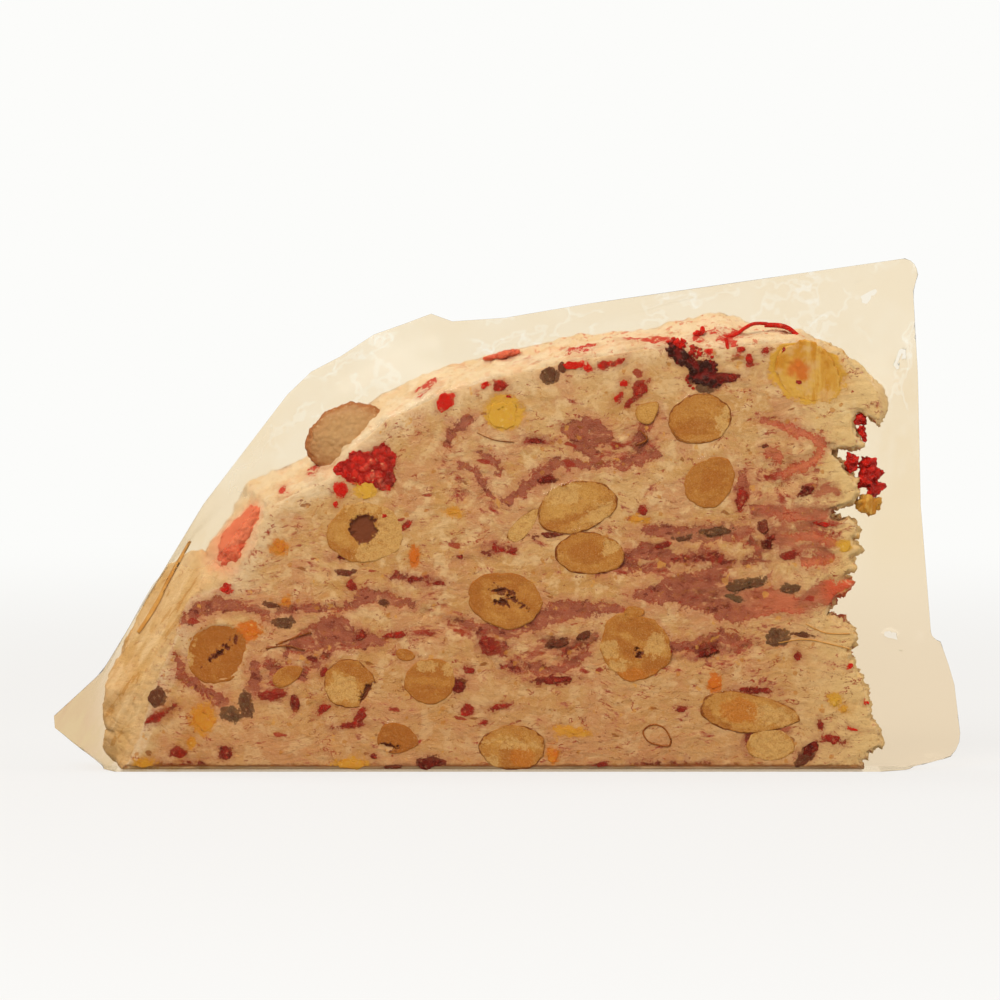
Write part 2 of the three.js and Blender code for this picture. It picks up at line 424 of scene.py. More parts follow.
def turned(dx, dz, degrees):
    """A step in the cut's plane, turned."""
    a = math.radians(degrees)
    return dx * math.cos(a) - dz * math.sin(a), dx * math.sin(a) + dz * math.cos(a)


@dataclass
class Nut:
    """A nut in a cut, in millimetres and degrees.

    Its marks are (kind, dx, dz, half width, half height, turn).
    """

    kind: str
    x: float
    z: float
    half: float
    height: float
    turn: float = 0
    taper: float = 0
    tone: float = 0.5  # 0 pale to 1 brown
    skin: float = 0.3  # how much of its outline has kept its skin
    bark: tuple = ()  # (from angle, to angle): where that skin is thick
    marks: tuple = ()


FRONT_NUTS = [
    Nut("hazel", -64.4, 26.6, 7.2, 6.9, 8, tone=0.95, skin=0.0, marks=(
        ("pit", 1.0, 0.3, 2.8, 0.5, 40), ("deep", -0.3, 2.4, 2.4, 1.5, 20),
        ("deep", 3.9, -2.4, 3.2, 4.6, 0),
        ("deep", 3.0, 3.4, 3.0, 2.0, 0), ("pale", -6.6, 0.8, 0.9, 4.4, 0))),
    Nut("hazel", -31.6, 53.1, 8.2, 6.9, 0, tone=0.3, skin=0.1, marks=(
        ("pit", -0.3, 1.0, 2.9, 3.1, 0), ("pale", 6.0, 0.9, 3.6, 5.6, 0), ("pale", 3.0, -5.0, 4.6, 2.8, 0),
        ("pale", -0.3, 6.2, 4.6, 1.5, 0), ("deep", -3.4, -4.6, 2.4, 0.5, -25),
        ("deep", 3.8, 3.2, 1.8, 1.2, 50))),
    Nut("hazel", -0.6, 38.2, 8.1, 6.3, -6, tone=0.6, skin=0.15, marks=(
        ("pit", -1.1, 2.0, 1.5, 0.3, -4), ("pit", -1.0, -0.7, 1.3, 0.8, -15),
        ("pale", -1.4, 0.8, 1.1, 0.9, 0),
        ("pit", 1.8, 0.2, 2.2, 0.25, -35), ("deep", -6.9, -0.2, 1.5, 4.6, 0),
        ("deep", 0.2, 5.6, 4.6, 1.0, -4),
        ("deep", 1.4, 2.2, 1.6, 1.0, 30))),
    Nut("hazel", -35.0, 19.5, 5.9, 5.3, -8, tone=0.35, skin=0.9, marks=(
        ("pit", 4.3, -2.4, 1.7, 3.0, -28), ("deep", 1.7, 2.7, 3.6, 1.2, -28),
        ("pale", -1.2, -1.2, 3.4, 3.0, 0),
        ("deep", 3.4, 0.6, 2.0, 0.8, -40))),
    Nut("hazel", -17.2, 20.2, 5.8, 4.9, 5, tone=0.6, skin=0.15, marks=(
        ("deep", 0.7, 2.3, 3.6, 1.0, 0), ("pale", -0.5, 3.6, 2.4, 0.8, 0),
        ("deep", 0.6, -2.0, 4.2, 0.3, -3),
        ("deep", -2.4, -2.7, 1.6, 0.8, 0), ("pale", 4.2, 3.2, 1.4, 1.2, 0))),
    Nut("hazel", -24.4, 7.4, 4.5, 3.4, -12, taper=0.2, tone=1.3, skin=0.3, marks=(
        ("deep", -1.2, 0.2, 3.2, 3.0, 0), ("pit", -2.6, -1.9, 2.4, 0.9, -4))),
    Nut("hazel", 1.1, 5.4, 7.1, 5.2, 0, tone=0.35, skin=1.0, marks=(
        ("pale", -4.4, -3.4, 1.7, 1.7, 0), ("deep", -1.4, -2.0, 0.9, 2.2, 0),
        ("orange", 2.4, -2.0, 2.2, 1.8, 0),
        ("pale", -0.5, 1.3, 4.6, 0.8, -8))),
    Nut("walnut", 28.2, 27.8, 7.7, 7.6, 0, tone=0.5, skin=0.05, marks=(
        ("deep", -1.2, -0.6, 3.6, 1.3, -24), ("deep", 4.2, -4.1, 2.6, 2.4, 0),
        ("deep", 1.5, 3.6, 4.4, 1.5, -24),
        ("pale", -5.8, -0.8, 1.9, 2.0, 0), ("pale", 4.6, 0.2, 1.8, 2.3, 0),
        ("pale", -4.0, -4.2, 2.4, 1.1, 0),
        ("orange", -0.4, -6.2, 3.4, 1.2, 0), ("pit", 0.9, -1.8, 0.5, 1.0, 20))),
    Nut("almond", 42.6, 78.3, 7.2, 5.4, 16, taper=0.06, tone=0.5, skin=1.0, bark=(195, 285), marks=(
        ("pale", 5.4, 0.6, 1.3, 3.2, -8), ("deep", -1.2, -1.8, 3.6, 1.4, 10))),
    Nut("almond", 44.8, 64.4, 6.3, 4.9, 42, taper=0.08, tone=0.75, skin=0.1, marks=(
        ("deep", 0.6, 0.4, 2.6, 1.6, 42),)),
    Nut("almond", 15.6, 58.9, 8.9, 5.7, 12, taper=0.16, tone=0.25, skin=0.9, marks=(
        ("pale", 5.2, -1.4, 3.2, 1.6, 30), ("deep", -1.0, -2.4, 6.2, 0.2, 20),
        ("pale", -3.6, 2.4, 3.4, 2.2, 0))),
    Nut("almond", 3.6, 54.8, 4.6, 1.9, 48, taper=0.3, tone=0.0, skin=0.9, marks=(
        ("pale", 0, 0, 5, 3, 48),)),
    Nut("almond", 18.2, 48.5, 7.7, 4.7, 0, taper=0.06, tone=0.5, skin=1.0, bark=(228, 262), marks=(
        ("deep", -0.4, 0.2, 3.4, 2.0, 0), ("pale", 4.6, 1.4, 1.8, 1.4, 0))),
    Nut("almond", 53.7, 13.1, 11.4, 4.2, -6, taper=0.28, tone=0.2, skin=0.95, marks=(
        ("orange", -1.8, 0.3, 3.8, 2.2, -8), ("pale", 5.0, -0.6, 4.2, 2.2, -10),
        ("deep", -8.2, -1.0, 1.8, 0.3, -35))),
    Nut("almond", -48.8, 21.4, 3.7, 2.0, 26, taper=0.2, tone=0.55, skin=0.1, marks=(
        ("deep", 1.6, 0.8, 1.4, 1, 0),)),
    Nut("almond", 31.1, 80.0, 2.9, 2.2, 38, taper=0.5, tone=0.1, skin=0.5),
    Nut("almond", 58.2, 6.0, 5.2, 3.6, 0, tone=0.0, skin=0.2, marks=(("pale", 0, 0, 5, 4, 0),)),
    Nut("hazel", -22.6, 26.0, 2.2, 1.3, -10, taper=0.2, tone=0.9, skin=0.2),
    Nut("hazel", 28.0, 35.4, 2.4, 1.4, 6, taper=0.2, tone=0.8, skin=0.1),
]  # fmt: skip
BACK_NUTS = [
    Nut("hazel", -58, 24, 7.2, 6.8, 10, tone=0.7, marks=(
        ("pit", 0.5, 0.4, 1.8, 1.5, 0), ("pale", -4, 1, 2, 3, 0))),
    Nut("hazel", -31, 33, 7.4, 7.0, 0, tone=0.5, marks=(
        ("pit", -0.6, 0.3, 2.2, 1.9, 0), ("deep", 4, 2, 2, 3, 0))),
    Nut("almond", -14, 66, 10.6, 5.4, -22, taper=0.22, tone=0.4, skin=0.9, marks=(
        ("pale", 3, 1, 4, 2, -22),)),
    Nut("hazel", 9, 22, 7.1, 7.3, 0, tone=0.8, marks=(
        ("pit", 0.8, -0.6, 2.0, 2.4, 0), ("deep", -3, -3, 3, 2, 0))),
    Nut("hazel", 24, 52, 7.6, 7.0, 0, tone=0.4, skin=0.6, marks=(("pit", 0.2, 0.5, 2.4, 1.4, 30),)),
    Nut("almond", 45, 80, 10.8, 5.0, 12, taper=0.25, tone=0.5, skin=0.9, bark=(200, 280)),
    Nut("walnut", 58, 34, 7.3, 6.8, 0, tone=0.8, marks=(
        ("pale", -4, 2, 2.4, 2, 0), ("deep", 2, -3, 3, 2, 0))),
    Nut("almond", 40, 11, 6.6, 5.2, 0, taper=0.1, skin=0.7, marks=(("deep", 0, 0, 3, 2, 0),)),
    Nut("hazel", -8, 45, 4.4, 4.2, 0, tone=0.9, skin=0.2),
    Nut("almond", -37, 55, 5.2, 3.0, 30, taper=0.2, tone=0.4, skin=0.8),
    Nut("hazel", 63, 60, 5.6, 5.2, 0, skin=0.4, marks=(
        ("pit", 0.4, 0.2, 1.4, 1.2, 0), ("pale", -2, 2, 2, 1.6, 0))),
    Nut("almond", -18, 12, 8.2, 3.6, -6, taper=0.25, tone=0.4, skin=0.8),
]  # fmt: skip


def wobble(angle, rough, seed):
    """How far an outline strays from its ellipse at an angle, as a factor near 1."""
    steps = ((2, 0.5, 1.3), (3, 0.35, 2.9), (5, 0.3, 4.1), (9, 0.2, 0.7), (17, 0.12, 3.3))
    return 1 + rough * sum(much * np.sin(waves * angle + phase * seed) for waves, much, phase in steps)


ROUGH_OF = {"hazel": 0.065, "almond": 0.06, "walnut": 0.1}


def beyond_nut(nut, seed, x, z):
    """Distance from a nut's outline, in millimetres, less than 0 inside it. Works on whole arrays."""
    along, across = along_axes(x - nut.x, z - nut.z, nut.turn)
    u = along / nut.half
    v = across / nut.height / (1 - nut.taper * np.clip(u, -1, 1.2))
    reach = np.hypot(u, v) + 1e-9
    angle = np.arctan2(v, u)
    radius = np.hypot(nut.half * np.cos(angle), nut.height * np.sin(angle))
    return (reach - wobble(angle, ROUGH_OF[nut.kind], seed)) * radius


print("nuts in the cuts:", len(FRONT_NUTS), "and", len(BACK_NUTS))

# %% Smears of berry mash
MAUVE = [
    [(28.1, 38.9, 0.6), (35, 40.2, 2.7), (43.9, 40.2, 4.6), (50.6, 37.0, 4.2), (58.3, 38, 2.6),
     (65, 37.1, 1.8)],
    [(-49, 26.7, 0.8), (-44, 29.3, 2.6), (-38.3, 30.8, 4.0), (-33.9, 29.5, 2.2), (-27.5, 28.9, 0.8)],
    [(-53.9, 33.6, 0.3), (-48.3, 36.2, 0.8), (-36.1, 36.4, 0.5), (-31.2, 39.3, 1.6), (-25, 38.2, 1.1),
     (-20.6, 37.6, 0.6)],
    [(-12.8, 33.6, 0.5), (-6, 32.4, 1.0), (-0.6, 30.6, 1.2), (5, 32.7, 1.2), (10.6, 35.4, 2.1),
     (15.6, 36.2, 1.9), (25, 36.2, 0.8)],
    [(0.8, 22.6, 0.5), (4.4, 23.4, 1.0), (10, 22.4, 1.0), (14.4, 23.8, 1.1), (17.6, 26.7, 0.9)],
    [(0.1, 60.4, 0.8), (5, 64.2, 1.5), (10.6, 68.5, 1.1), (17.2, 68.2, 0.7), (29.4, 68.2, 0.6)],
    [(12.2, 75.6, 1.0), (17.2, 76.4, 2.6), (20, 74.5, 2.4), (16.1, 72.5, 2.0), (19.4, 70, 1.5)],
    [(-13.3, 72.7, 0.9), (-11.1, 76.4, 1.0), (-8.3, 78.5, 0.6)],
    [(30.6, 53.8, 1.1), (38.3, 52.7, 1.7), (45, 53.0, 1.8), (53.5, 53.2, 1.2)],
    [(26, 47.8, 0.7), (30.6, 49.1, 2.0), (36, 48, 1.1), (41, 47, 0.6)],
    [(40.6, 47.7, 1.2), (44.4, 48.4, 1.5), (47.8, 47.1, 1.0)],
    [(32.8, 31.6, 0.8), (36.1, 27.6, 1.2), (41.7, 28.2, 1.3), (47.2, 30, 1.4), (53.3, 28.4, 0.8)],
    [(-71.4, 34.0, 1.4), (-68.3, 36.4, 1.6), (-64.4, 37.6, 1.5), (-58, 36.4, 0.9), (-53, 35.4, 0.5)],
    [(-73.4, 25.5, 0.9), (-71.6, 21.4, 1.1), (-68.4, 18.2, 1.0), (-63.3, 16.0, 1.5)],
    [(-56.1, 23.8, 1.1), (-56.4, 19, 1.4)],
    [(-52.5, 23.2, 1.3), (-46, 21.5, 1.0), (-42.2, 24.0, 0.7)],
    [(-10.6, 68.5, 0.5), (-6.7, 66.4, 0.7), (-5, 62.4, 0.5), (-1.6, 60.2, 0.6)],
    [(-6, 70.8, 0.6), (-2.8, 68.6, 0.9), (-1.5, 66, 0.5)],
    [(33, 80.2, 0.5), (30.6, 76.4, 0.8), (28.6, 72.9, 1.5), (33, 70.4, 0.9), (25, 68.5, 1.5)],
    [(52, 66.5, 0.6), (52.2, 62.2, 1.6)],
    [(20, 44.8, 0.8), (25, 46.5, 1.2), (29, 45, 0.7), (34.6, 45.6, 0.8)],
    [(45, 44.5, 1.2), (49, 46, 1.0)],
    [(56.1, 78, 0.4), (60.6, 76.9, 1.0), (65.6, 74.9, 0.9), (70.5, 72.5, 0.5)],
    [(58, 71.5, 1.3), (60.5, 69.6, 1.0)],
    [(62, 66.5, 1.0), (66.5, 68, 1.1), (69, 71, 0.6)],
    [(55, 58.4, 1.0), (62, 57.2, 1.3), (70, 56.8, 1.0)],
    [(60, 51.8, 0.9), (68, 52.2, 1.2), (72, 50.4, 0.8)],
    [(66, 46.4, 1.0), (72, 47.6, 0.9)],
]  # fmt: skip
WINE = [
    [(66.1, 37.6, 1.6), (71.2, 40.0, 2.5), (75.4, 41.2, 1.5)],
    [(-50.5, 36.6, 0.6), (-46.5, 36.0, 0.5)],
    [(-25, 43.6, 0.8), (-21.4, 42.6, 0.5), (-15.6, 42.2, 0.4)],
    [(-6.5, 31.0, 0.7), (-4.3, 28.2, 1.7), (-1.1, 27.6, 1.5)],
    [(-1.1, 23.2, 0.8), (2.8, 23.6, 0.7)],
    [(9.8, 28.9, 0.8), (13.3, 27.6, 1.5), (19.4, 30.6, 0.8)],
    [(55, 57, 0.5), (60, 58.6, 0.4)],
    [(64, 58.2, 0.7), (68, 57.2, 0.9), (72, 58, 0.5)],
    [(57, 53.2, 0.8), (61, 54.4, 0.6)],
    [(65, 54.2, 0.9), (69, 54.6, 0.6), (73, 55.6, 0.4)],
    [(64, 49.2, 0.6), (67, 50.3, 0.9), (70.5, 48.8, 0.7)],
    [(41.7, 27.1, 0.9), (45.6, 28, 1.3)],
    [(-77.2, 12.8, 0.5), (-74, 14.6, 0.6)],
    [(37, 47.6, 0.4), (45.5, 47.9, 0.9), (50, 46.6, 0.5), (58, 46.8, 0.4)],
    [(55.4, 49.4, 1.1), (53.2, 52.6, 0.6)],
    [(59, 51.8, 1.1), (63, 50.9, 0.6)],
    [(72.8, 62, 0.4), (70.5, 63.6, 1.0), (68.6, 61.6, 0.9)],
    [(-5, 48.6, 0.3), (-2.0, 49.8, 0.7), (0.6, 49.8, 0.3)],
    [(4, 73.4, 0.5), (8.5, 73.6, 0.5)],
    [(-44, 25.2, 0.3), (-40, 25.8, 0.5)],
    [(-78, 1.1, 0.7), (-68, 1.3, 0.8)],
    [(28, 1.1, 0.8), (44, 1.2, 0.7)],
    [(53.0, 4.2, 0.3), (53.4, 8.0, 0.7), (56.6, 10.0, 0.9), (61.4, 9.6, 0.6)],
]  # fmt: skip
BLUSH = [
    [(60, 64, 6.0), (66, 67, 3.5)],
    [(60, 57, 2.6), (70, 54, 4.0), (70, 48, 2.6)],
    [(-10, 33, 2.5), (0, 28, 3.0), (14, 27, 3.5), (17, 24, 2.5)],
    [(-20, 36, 1.8), (-14, 35, 2.6)],
    [(-52, 21, 3.2)],
    [(-14, 66, 3.2), (-8, 62, 2.8), (-3, 58, 2.0)],
    [(30, 73, 4.2), (22, 70, 3.5)],
    [(33, 46, 4.0), (22, 46, 2.5)],
    [(34, 25.5, 2.6), (44, 25.5, 2.6), (55, 29, 3.0)],
    [(55, 8.5, 2.4), (62, 6, 2.2), (58, 3, 1.6)],
    [(-23, 31.5, 2.0), (-18, 30.5, 1.6)],
]  # fmt: skip


STAINS = [  # where fruit has stained the dome's skin
    [(44.9, 98.0, 0.3), (47.9, 96.8, 0.5), (48.8, 96.2, 0.7), (51.1, 97.3, 0.5), (53.1, 98.9, 0.6),
     (57, 99.3, 0.4)],
    [(34.1, 100.0, 0.4)], [(41.7, 96.4, 0.9)], [(49.6, 96.6, 0.5), (49.9, 93.6, 0.4)], [(38, 102.4, 0.3)],
    [(25, 96.2, 0.3), (30, 96.6, 0.7), (35.4, 96.0, 0.4)], [(14, 93.6, 0.6), (19, 94.8, 0.4)],
    [(46, 101.0, 0.4)],
    [(-20, 84.2, 0.3), (-16, 86.0, 0.3)], [(-44, 66, 0.4), (-41, 69, 0.3)], [(-50, 62.6, 0.5)],
    [(4, 92.6, 0.5)],
]  # fmt: skip


def beyond_smear(line, x, z):
    """Distance from a smear's edge, in millimetres, less than 0 inside it. Works on whole arrays."""
    if len(line) == 1:
        line = line * 2
    nearest = np.full(x.shape, 1e3)
    for (ax, az, ar), (bx, bz, br) in zip(line, line[1:]):
        long2 = (bx - ax) ** 2 + (bz - az) ** 2 + 1e-9
        t = np.clip(((x - ax) * (bx - ax) + (z - az) * (bz - az)) / long2, 0, 1)
        away = np.hypot(x - ax - t * (bx - ax), z - az - t * (bz - az)) - (ar + t * (br - ar))
        nearest = np.minimum(nearest, away)
    return nearest


def beyond_smears(lines, x, z):
    return np.minimum.reduce([beyond_smear(line, x, z) for line in lines])


print("smears:", len(MAUVE), "mauve,", len(WINE), "wine red,", len(BLUSH), "blushes")

# %% Chips of fruit in the cuts
# x, z, half width, half height, turn, tone (0 bright red to 1 nearly black)
RED_CHIPS = [
    (-13.8, 82.2, 1.5, 2.6, -35, 0.12), (-1.6, 85.6, 1.5, 1.4, 20, 0.4), (-5.0, 86.0, 1.0, 0.6, 45, 0.05),
    (14.6, 90.2, 2.4, 0.9, 4, 0.05), (17.8, 89.6, 1.0, 0.8, 0, 0.1), (29.2, 85.0, 1.5, 1.9, -35, 0.45),
    (25.8, 86.2, 1.1, 0.8, 0, 0.15), (24.4, 83.0, 1.2, 0.6, 40, 0.3), (27.0, 82.0, 1.2, 0.7, 50, 0.5),
    (22.0, 90.4, 1.8, 0.8, 15, 0.3), (25.0, 91.2, 1.1, 0.6, 30, 0.35), (-62.4, 40.8, 1.2, 1.1, 0, 0.2),
    (-78.4, 12.0, 2.6, 0.8, 22, 0.45), (-73.2, 4.2, 1.7, 1.2, 0, 0.5), (-62.6, 4.2, 1.3, 1.5, 10, 0.65),
    (-40.8, 14.0, 1.6, 1.0, 20, 0.45), (-32.8, 12.2, 1.1, 1.9, -25, 0.5), (-34.8, 10.4, 2.6, 0.6, 5, 0.5),
    (-9.0, 13.8, 1.5, 1.3, 20, 0.45), (-2.2, 14.4, 1.9, 0.6, 6, 0.5), (-17.2, 2.0, 3.0, 1.4, 4, 0.8),
    (-4.0, 28.0, 2.6, 2.0, -40, 0.55), (-10.8, 19.2, 1.6, 1.5, 20, 0.75), (10.2, 20.4, 4.0, 0.9, 4, 0.65),
    (54.8, 18.2, 3.4, 0.8, -2, 0.6), (66.6, 4.6, 2.7, 1.4, 40, 0.8), (72.0, 7.2, 2.2, 0.9, -14, 0.45),
    (30.0, 58.0, 1.0, 1.0, 0, 0.5), (-8.6, 22.6, 1.1, 0.9, 0, 0.5), (69.4, 10.6, 0.6, 0.9, 0, 0.5),
    (76.8, 9.4, 0.9, 0.3, -8, 0.15), (79.9, 15.4, 0.6, 0.5, 0, 0.05), (76.1, 23.6, 0.6, 0.6, 0, 0.2),
    (35.6, 26.6, 0.8, 0.6, 0, 0.5), (38.4, 13.9, 1.0, 0.7, 0, 0.6), (-5.3, 11.0, 0.7, 0.6, 0, 0.4),
    (20.6, 1.6, 1.3, 0.8, 0, 0.6), (-29.6, 3.5, 0.9, 0.7, 0, 0.7), (-40.6, 22.4, 1.2, 0.7, 60, 0.5),
    (-21.0, 42.8, 1.5, 0.5, 0, 0.7), (-15.6, 42.0, 1.8, 0.5, 0, 0.6), (-10.4, 47.8, 0.9, 0.5, 0, 0.7),
    (-36.2, 47.8, 1.6, 0.5, 0, 0.85), (-34.6, 41.4, 1.2, 1.0, 20, 0.5), (-27.4, 57.0, 0.9, 0.7, 0, 0.3),
    (-22.4, 54.8, 1.0, 0.6, 30, 0.4), (-38.0, 59.6, 0.6, 0.7, 0, 0.2), (64.4, 25.6, 0.8, 1.0, 20, 0.5),
    (44.4, 93.4, 0.7, 0.7, 0, 0.12), (51.6, 93.8, 0.9, 0.8, 0, 0.35), (57.2, 93.4, 0.7, 0.7, 0, 0.4),
    (53.4, 91.4, 0.7, 1.3, 10, 0.35), (61.0, 93.6, 0.8, 0.5, 60, 0.3), (64.4, 86.4, 0.6, 0.6, 0, 0.5),
    (8.4, 65.0, 2.2, 0.7, 6, 0.75), (6.4, 73.6, 1.8, 0.5, 0, 0.6), (51.8, 60.6, 1.2, 2.2, -8, 0.5),
    (34.6, 50.4, 2.0, 0.8, 10, 0.6), (44.6, 26.6, 2.4, 0.9, 18, 0.75), (-24.8, 30.4, 2.4, 0.8, 10, 0.45),
    (-52.0, 17.2, 3.2, 1.1, 12, 0.5), (-47.2, 15.4, 1.0, 1.7, 10, 0.7), (-32.6, 30.2, 1.4, 0.9, 30, 0.6),
    (46.6, 63.2, 0.7, 0.7, 0, 0.3), (0.2, 83.4, 0.5, 0.5, 0, 0.3), (-26.6, 63.2, 0.8, 0.9, 0, 0.2),
    (-37.0, 62.6, 1.5, 1.9, 0, 0.05), (66.0, 62.4, 1.9, 0.9, 28, 0.8), (57.4, 50.6, 1.4, 1.0, 0, 0.85),
    (-2.2, 49.6, 1.6, 0.5, -14, 0.4), (1.2, 49.0, 0.9, 0.7, 0, 0.45),
    (58.0, 51.8, 1.2, 0.8, 30, 0.7), (62.4, 48.0, 1.8, 0.8, 12, 0.55), (70.0, 55.0, 1.6, 0.6, 8, 0.3),
]  # fmt: skip
DARK_CHIPS = [
    (-77.8, 16.8, 2.0, 2.4, 20, 0.6), (-58.0, 15.2, 1.5, 3.1, 18, 0.7), (-61.4, 12.8, 2.2, 1.8, -20, 0.8),
    (-49.6, 33.2, 2.4, 1.2, -4, 0.7), (9.2, 87.8, 2.2, 1.9, -10, 0.7), (12.0, 89.8, 0.9, 1.3, 20, 0.5),
    (52.8, 41.8, 4.4, 1.3, 12, 0.8), (50.4, 38.6, 2.2, 0.6, -14, 0.9), (62.8, 40.8, 1.9, 1.0, 0, 0.8),
    (59.8, 29.8, 2.6, 2.0, 14, 0.8), (65.4, 30.4, 2.4, 0.6, -8, 0.6), (-36.4, 44.2, 2.1, 0.5, 0, 0.3),
    (46.0, 53.4, 3.6, 0.9, 8, 0.75), (38.6, 51.8, 1.8, 0.6, 6, 0.6), (65.4, 2.8, 2.4, 1.2, 38, 0.5),
    (11.2, 28.6, 3.0, 0.9, 12, 0.4), (17.0, 30.4, 2.2, 0.8, 24, 0.4), (57.0, 72.4, 0.9, 0.6, 0, 0.3),
    (-26.0, 1.0, 2.4, 0.5, 0, 0.3), (43.4, 85.0, 1.8, 0.9, -10, 0.8), (9.4, 52.7, 3.2, 0.55, 5, 0.2),
    (56.6, 54.2, 1.1, 1.7, 20, 0.2), (-52.4, 37.0, 1.8, 0.6, -6, 0.5), (-27.6, 37.6, 1.0, 0.8, 0, 0.5),
]  # fmt: skip
CANDIED = [  # tone: 0 mustard yellow, 1 orange
    (-0.9, 79.9, 4.0, 3.6, -20, 0.1), (-50.6, 49.8, 1.6, 1.5, 0, 0.75),
    (-20.6, 47.8, 0.9, 1.4, 0, 1.0), (46.0, 19.8, 1.4, 1.6, 0, 0.95), (-57.9, 31.3, 2.8, 1.8, 12, 0.95),
    (72.4, 16.0, 1.2, 1.2, 0, 0.1), (74.6, 14.0, 0.9, 0.7, 0, 0.3), (-31.6, 62.6, 2.2, 1.8, 0, 0.0),
    (-67.6, 11.6, 2.4, 2.8, 0, 0.6), (10.0, 3.6, 1.2, 1.6, 0, 0.8), (-80.4, 1.8, 1.8, 0.9, 0, 0.3),
    (-49.4, 38.2, 0.9, 0.8, 0, 0.8), (-70.0, 6.4, 0.9, 0.8, 0, 0.6), (14.6, 9.0, 2.6, 0.7, -6, 0.4),
    (-12.0, 57.6, 1.2, 0.6, 0, 0.5), (28.8, 56.0, 1.4, 0.5, 0, 0.5), (-35.0, 1.8, 3.2, 1.3, 0, 0.35),
    (74.6, 50.0, 1.4, 1.0, 10, 0.0),
]  # fmt: skip


BACK_EDGE = sorted((float(x), float(z)) for x, z in (widened(*corner) for corner in DOME))


def back_scatter(seed, count, sizes, tones):
    """Seeded chips for the back cut, kept inside its outline."""
    rng = random.Random(seed)
    found = []
    while len(found) < count:
        x, z = rng.uniform(-84, 73), rng.uniform(2, 98)
        size = rng.uniform(*sizes)
        if z < np.interp(x, *zip(*BACK_EDGE)) - 5 * size:
            half, turn = size * rng.uniform(1.1, 3.2), rng.uniform(-30, 30)
            found.append((x, z, half, size, turn, rng.uniform(*tones)))
    return found


BACK_RED = back_scatter(11, 90, (0.35, 1.2), (0.1, 0.9))
BACK_DARK = back_scatter(12, 22, (0.5, 1.4), (0.3, 0.9))
BACK_CANDIED = back_scatter(13, 20, (0.7, 2.0), (0.0, 1.0))


CUT_BERRIES = [  # the raspberry and the black berry, whose flesh is made further down
    (-31.6, 67.2, 5.4, 3.6, 12, 0.1), (-27.9, 68.8, 2.9, 3.6, 10, 0.45), (-27.6, 65.2, 2.8, 2.4, -30, 0.6),
    (43.0, 88.4, 3.3, 3.0, 20, 1.0), (38.6, 91.8, 4.4, 1.4, -34, 0.8), (45.4, 86.6, 1.9, 2.0, 0, 1.0),
    (48.0, 87.6, 3.0, 1.0, -6, 0.7),
]  # fmt: skip
CUT_CANDY = [(66.2, 89.0, 8.2, 6.6, -22, 0.1)]


def beyond_chips(chips, x, z):
    """Distance from the nearest chip's edge, in millimetres, and its tone. Works on whole arrays."""
    nearest = np.full(x.shape, 50.0)
    nearest_tone = np.zeros(x.shape)
    for cx, cz, half, height, turn, tone in chips:
        along, across = along_axes(x - cx, z - cz, turn)
        away = (np.hypot(along / half, across / height) - 1) * min(half, height)
        nearest_tone = np.where(away < nearest, tone, nearest_tone)
        nearest = np.minimum(nearest, away)
    return nearest, nearest_tone


print("chips:", len(RED_CHIPS), "red,", len(DARK_CHIPS), "dark,", len(CANDIED), "candied")


# %% [markdown]
# ## The nougat slab
#
# Soft nougat is cut clean on its two faces, but the knife drags it: nuts leave a small gap round
# them, smears sink in, and the paste shows fine cracks along the layers it was folded in. The end
# is torn. The slab starts as the outline, extruded and flared, and a voxel remesh gives it even
# points all over. Those are then pushed in and out by noise, as a thumb and a knife would.

# %% Slab blank
VOXEL = 0.62


def mesh_object(name, bm):
    """A new object from a finished bmesh in millimetres, at the origin, riding on the slice's body."""
    bmesh.ops.scale(bm, vec=(MM, MM, MM), verts=bm.verts)
    made = in_scene(name, mesh_from(name, bm))
    made.data.shade_smooth()
    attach(made, "root")
    return made


def ball_mesh(name, make, **sizes):
    """A ball of radius 1, made once as a mesh and then copied for each piece."""
    bm = bmesh.new()
    make(bm, radius=1, **sizes)
    return mesh_from(name, bm)


def copied(bm, ball):
    """A ball copied into a bmesh, as its new points."""
    before = len(bm.verts)
    bm.from_mesh(ball)
    bm.verts.ensure_lookup_table()
    return bm.verts[before:]


def slab_blank():
    """The outline extruded from the front cut to the widened back one, with softened edges."""
    bm = bmesh.new()
    outline = [bm.verts.new((x, FRONT, z)) for x, z in DOME + TORN_END]
    face = bm.faces.new(outline)
    grown = bmesh.ops.extrude_face_region(bm, geom=[face])["geom"]
    for vert in [v for v in grown if isinstance(v, bmesh.types.BMVert)]:
        x, z = widened(vert.co.x, vert.co.z)
        vert.co = (float(x), BACK, float(z))
    bmesh.ops.recalc_face_normals(bm, faces=bm.faces)
    edges = [e for e in bm.edges if abs(e.verts[0].co.y - e.verts[1].co.y) < 1e-6]
    bmesh.ops.bevel(bm, geom=edges, offset=0.7, segments=2, profile=0.5, affect="EDGES", material=-1)
    bmesh.ops.triangulate(bm, faces=bm.faces)
    return bm


def evenly_meshed(made, size):
    """The object's mesh rebuilt by voxels of one size."""
    made.modifiers.new("voxels", "REMESH").mode = "VOXEL"
    made.modifiers["voxels"].voxel_size = size * MM
    shaped = made.evaluated_get(bpy.context.evaluated_depsgraph_get())
    even = bpy.data.meshes.new_from_object(shaped)
    made.modifiers.clear()
    made.data = even
    return even


slab = mesh_object("nougat_slab", slab_blank())
slab_mesh = evenly_meshed(slab, VOXEL)
print("slab blank:", len(slab_mesh.vertices), "points")

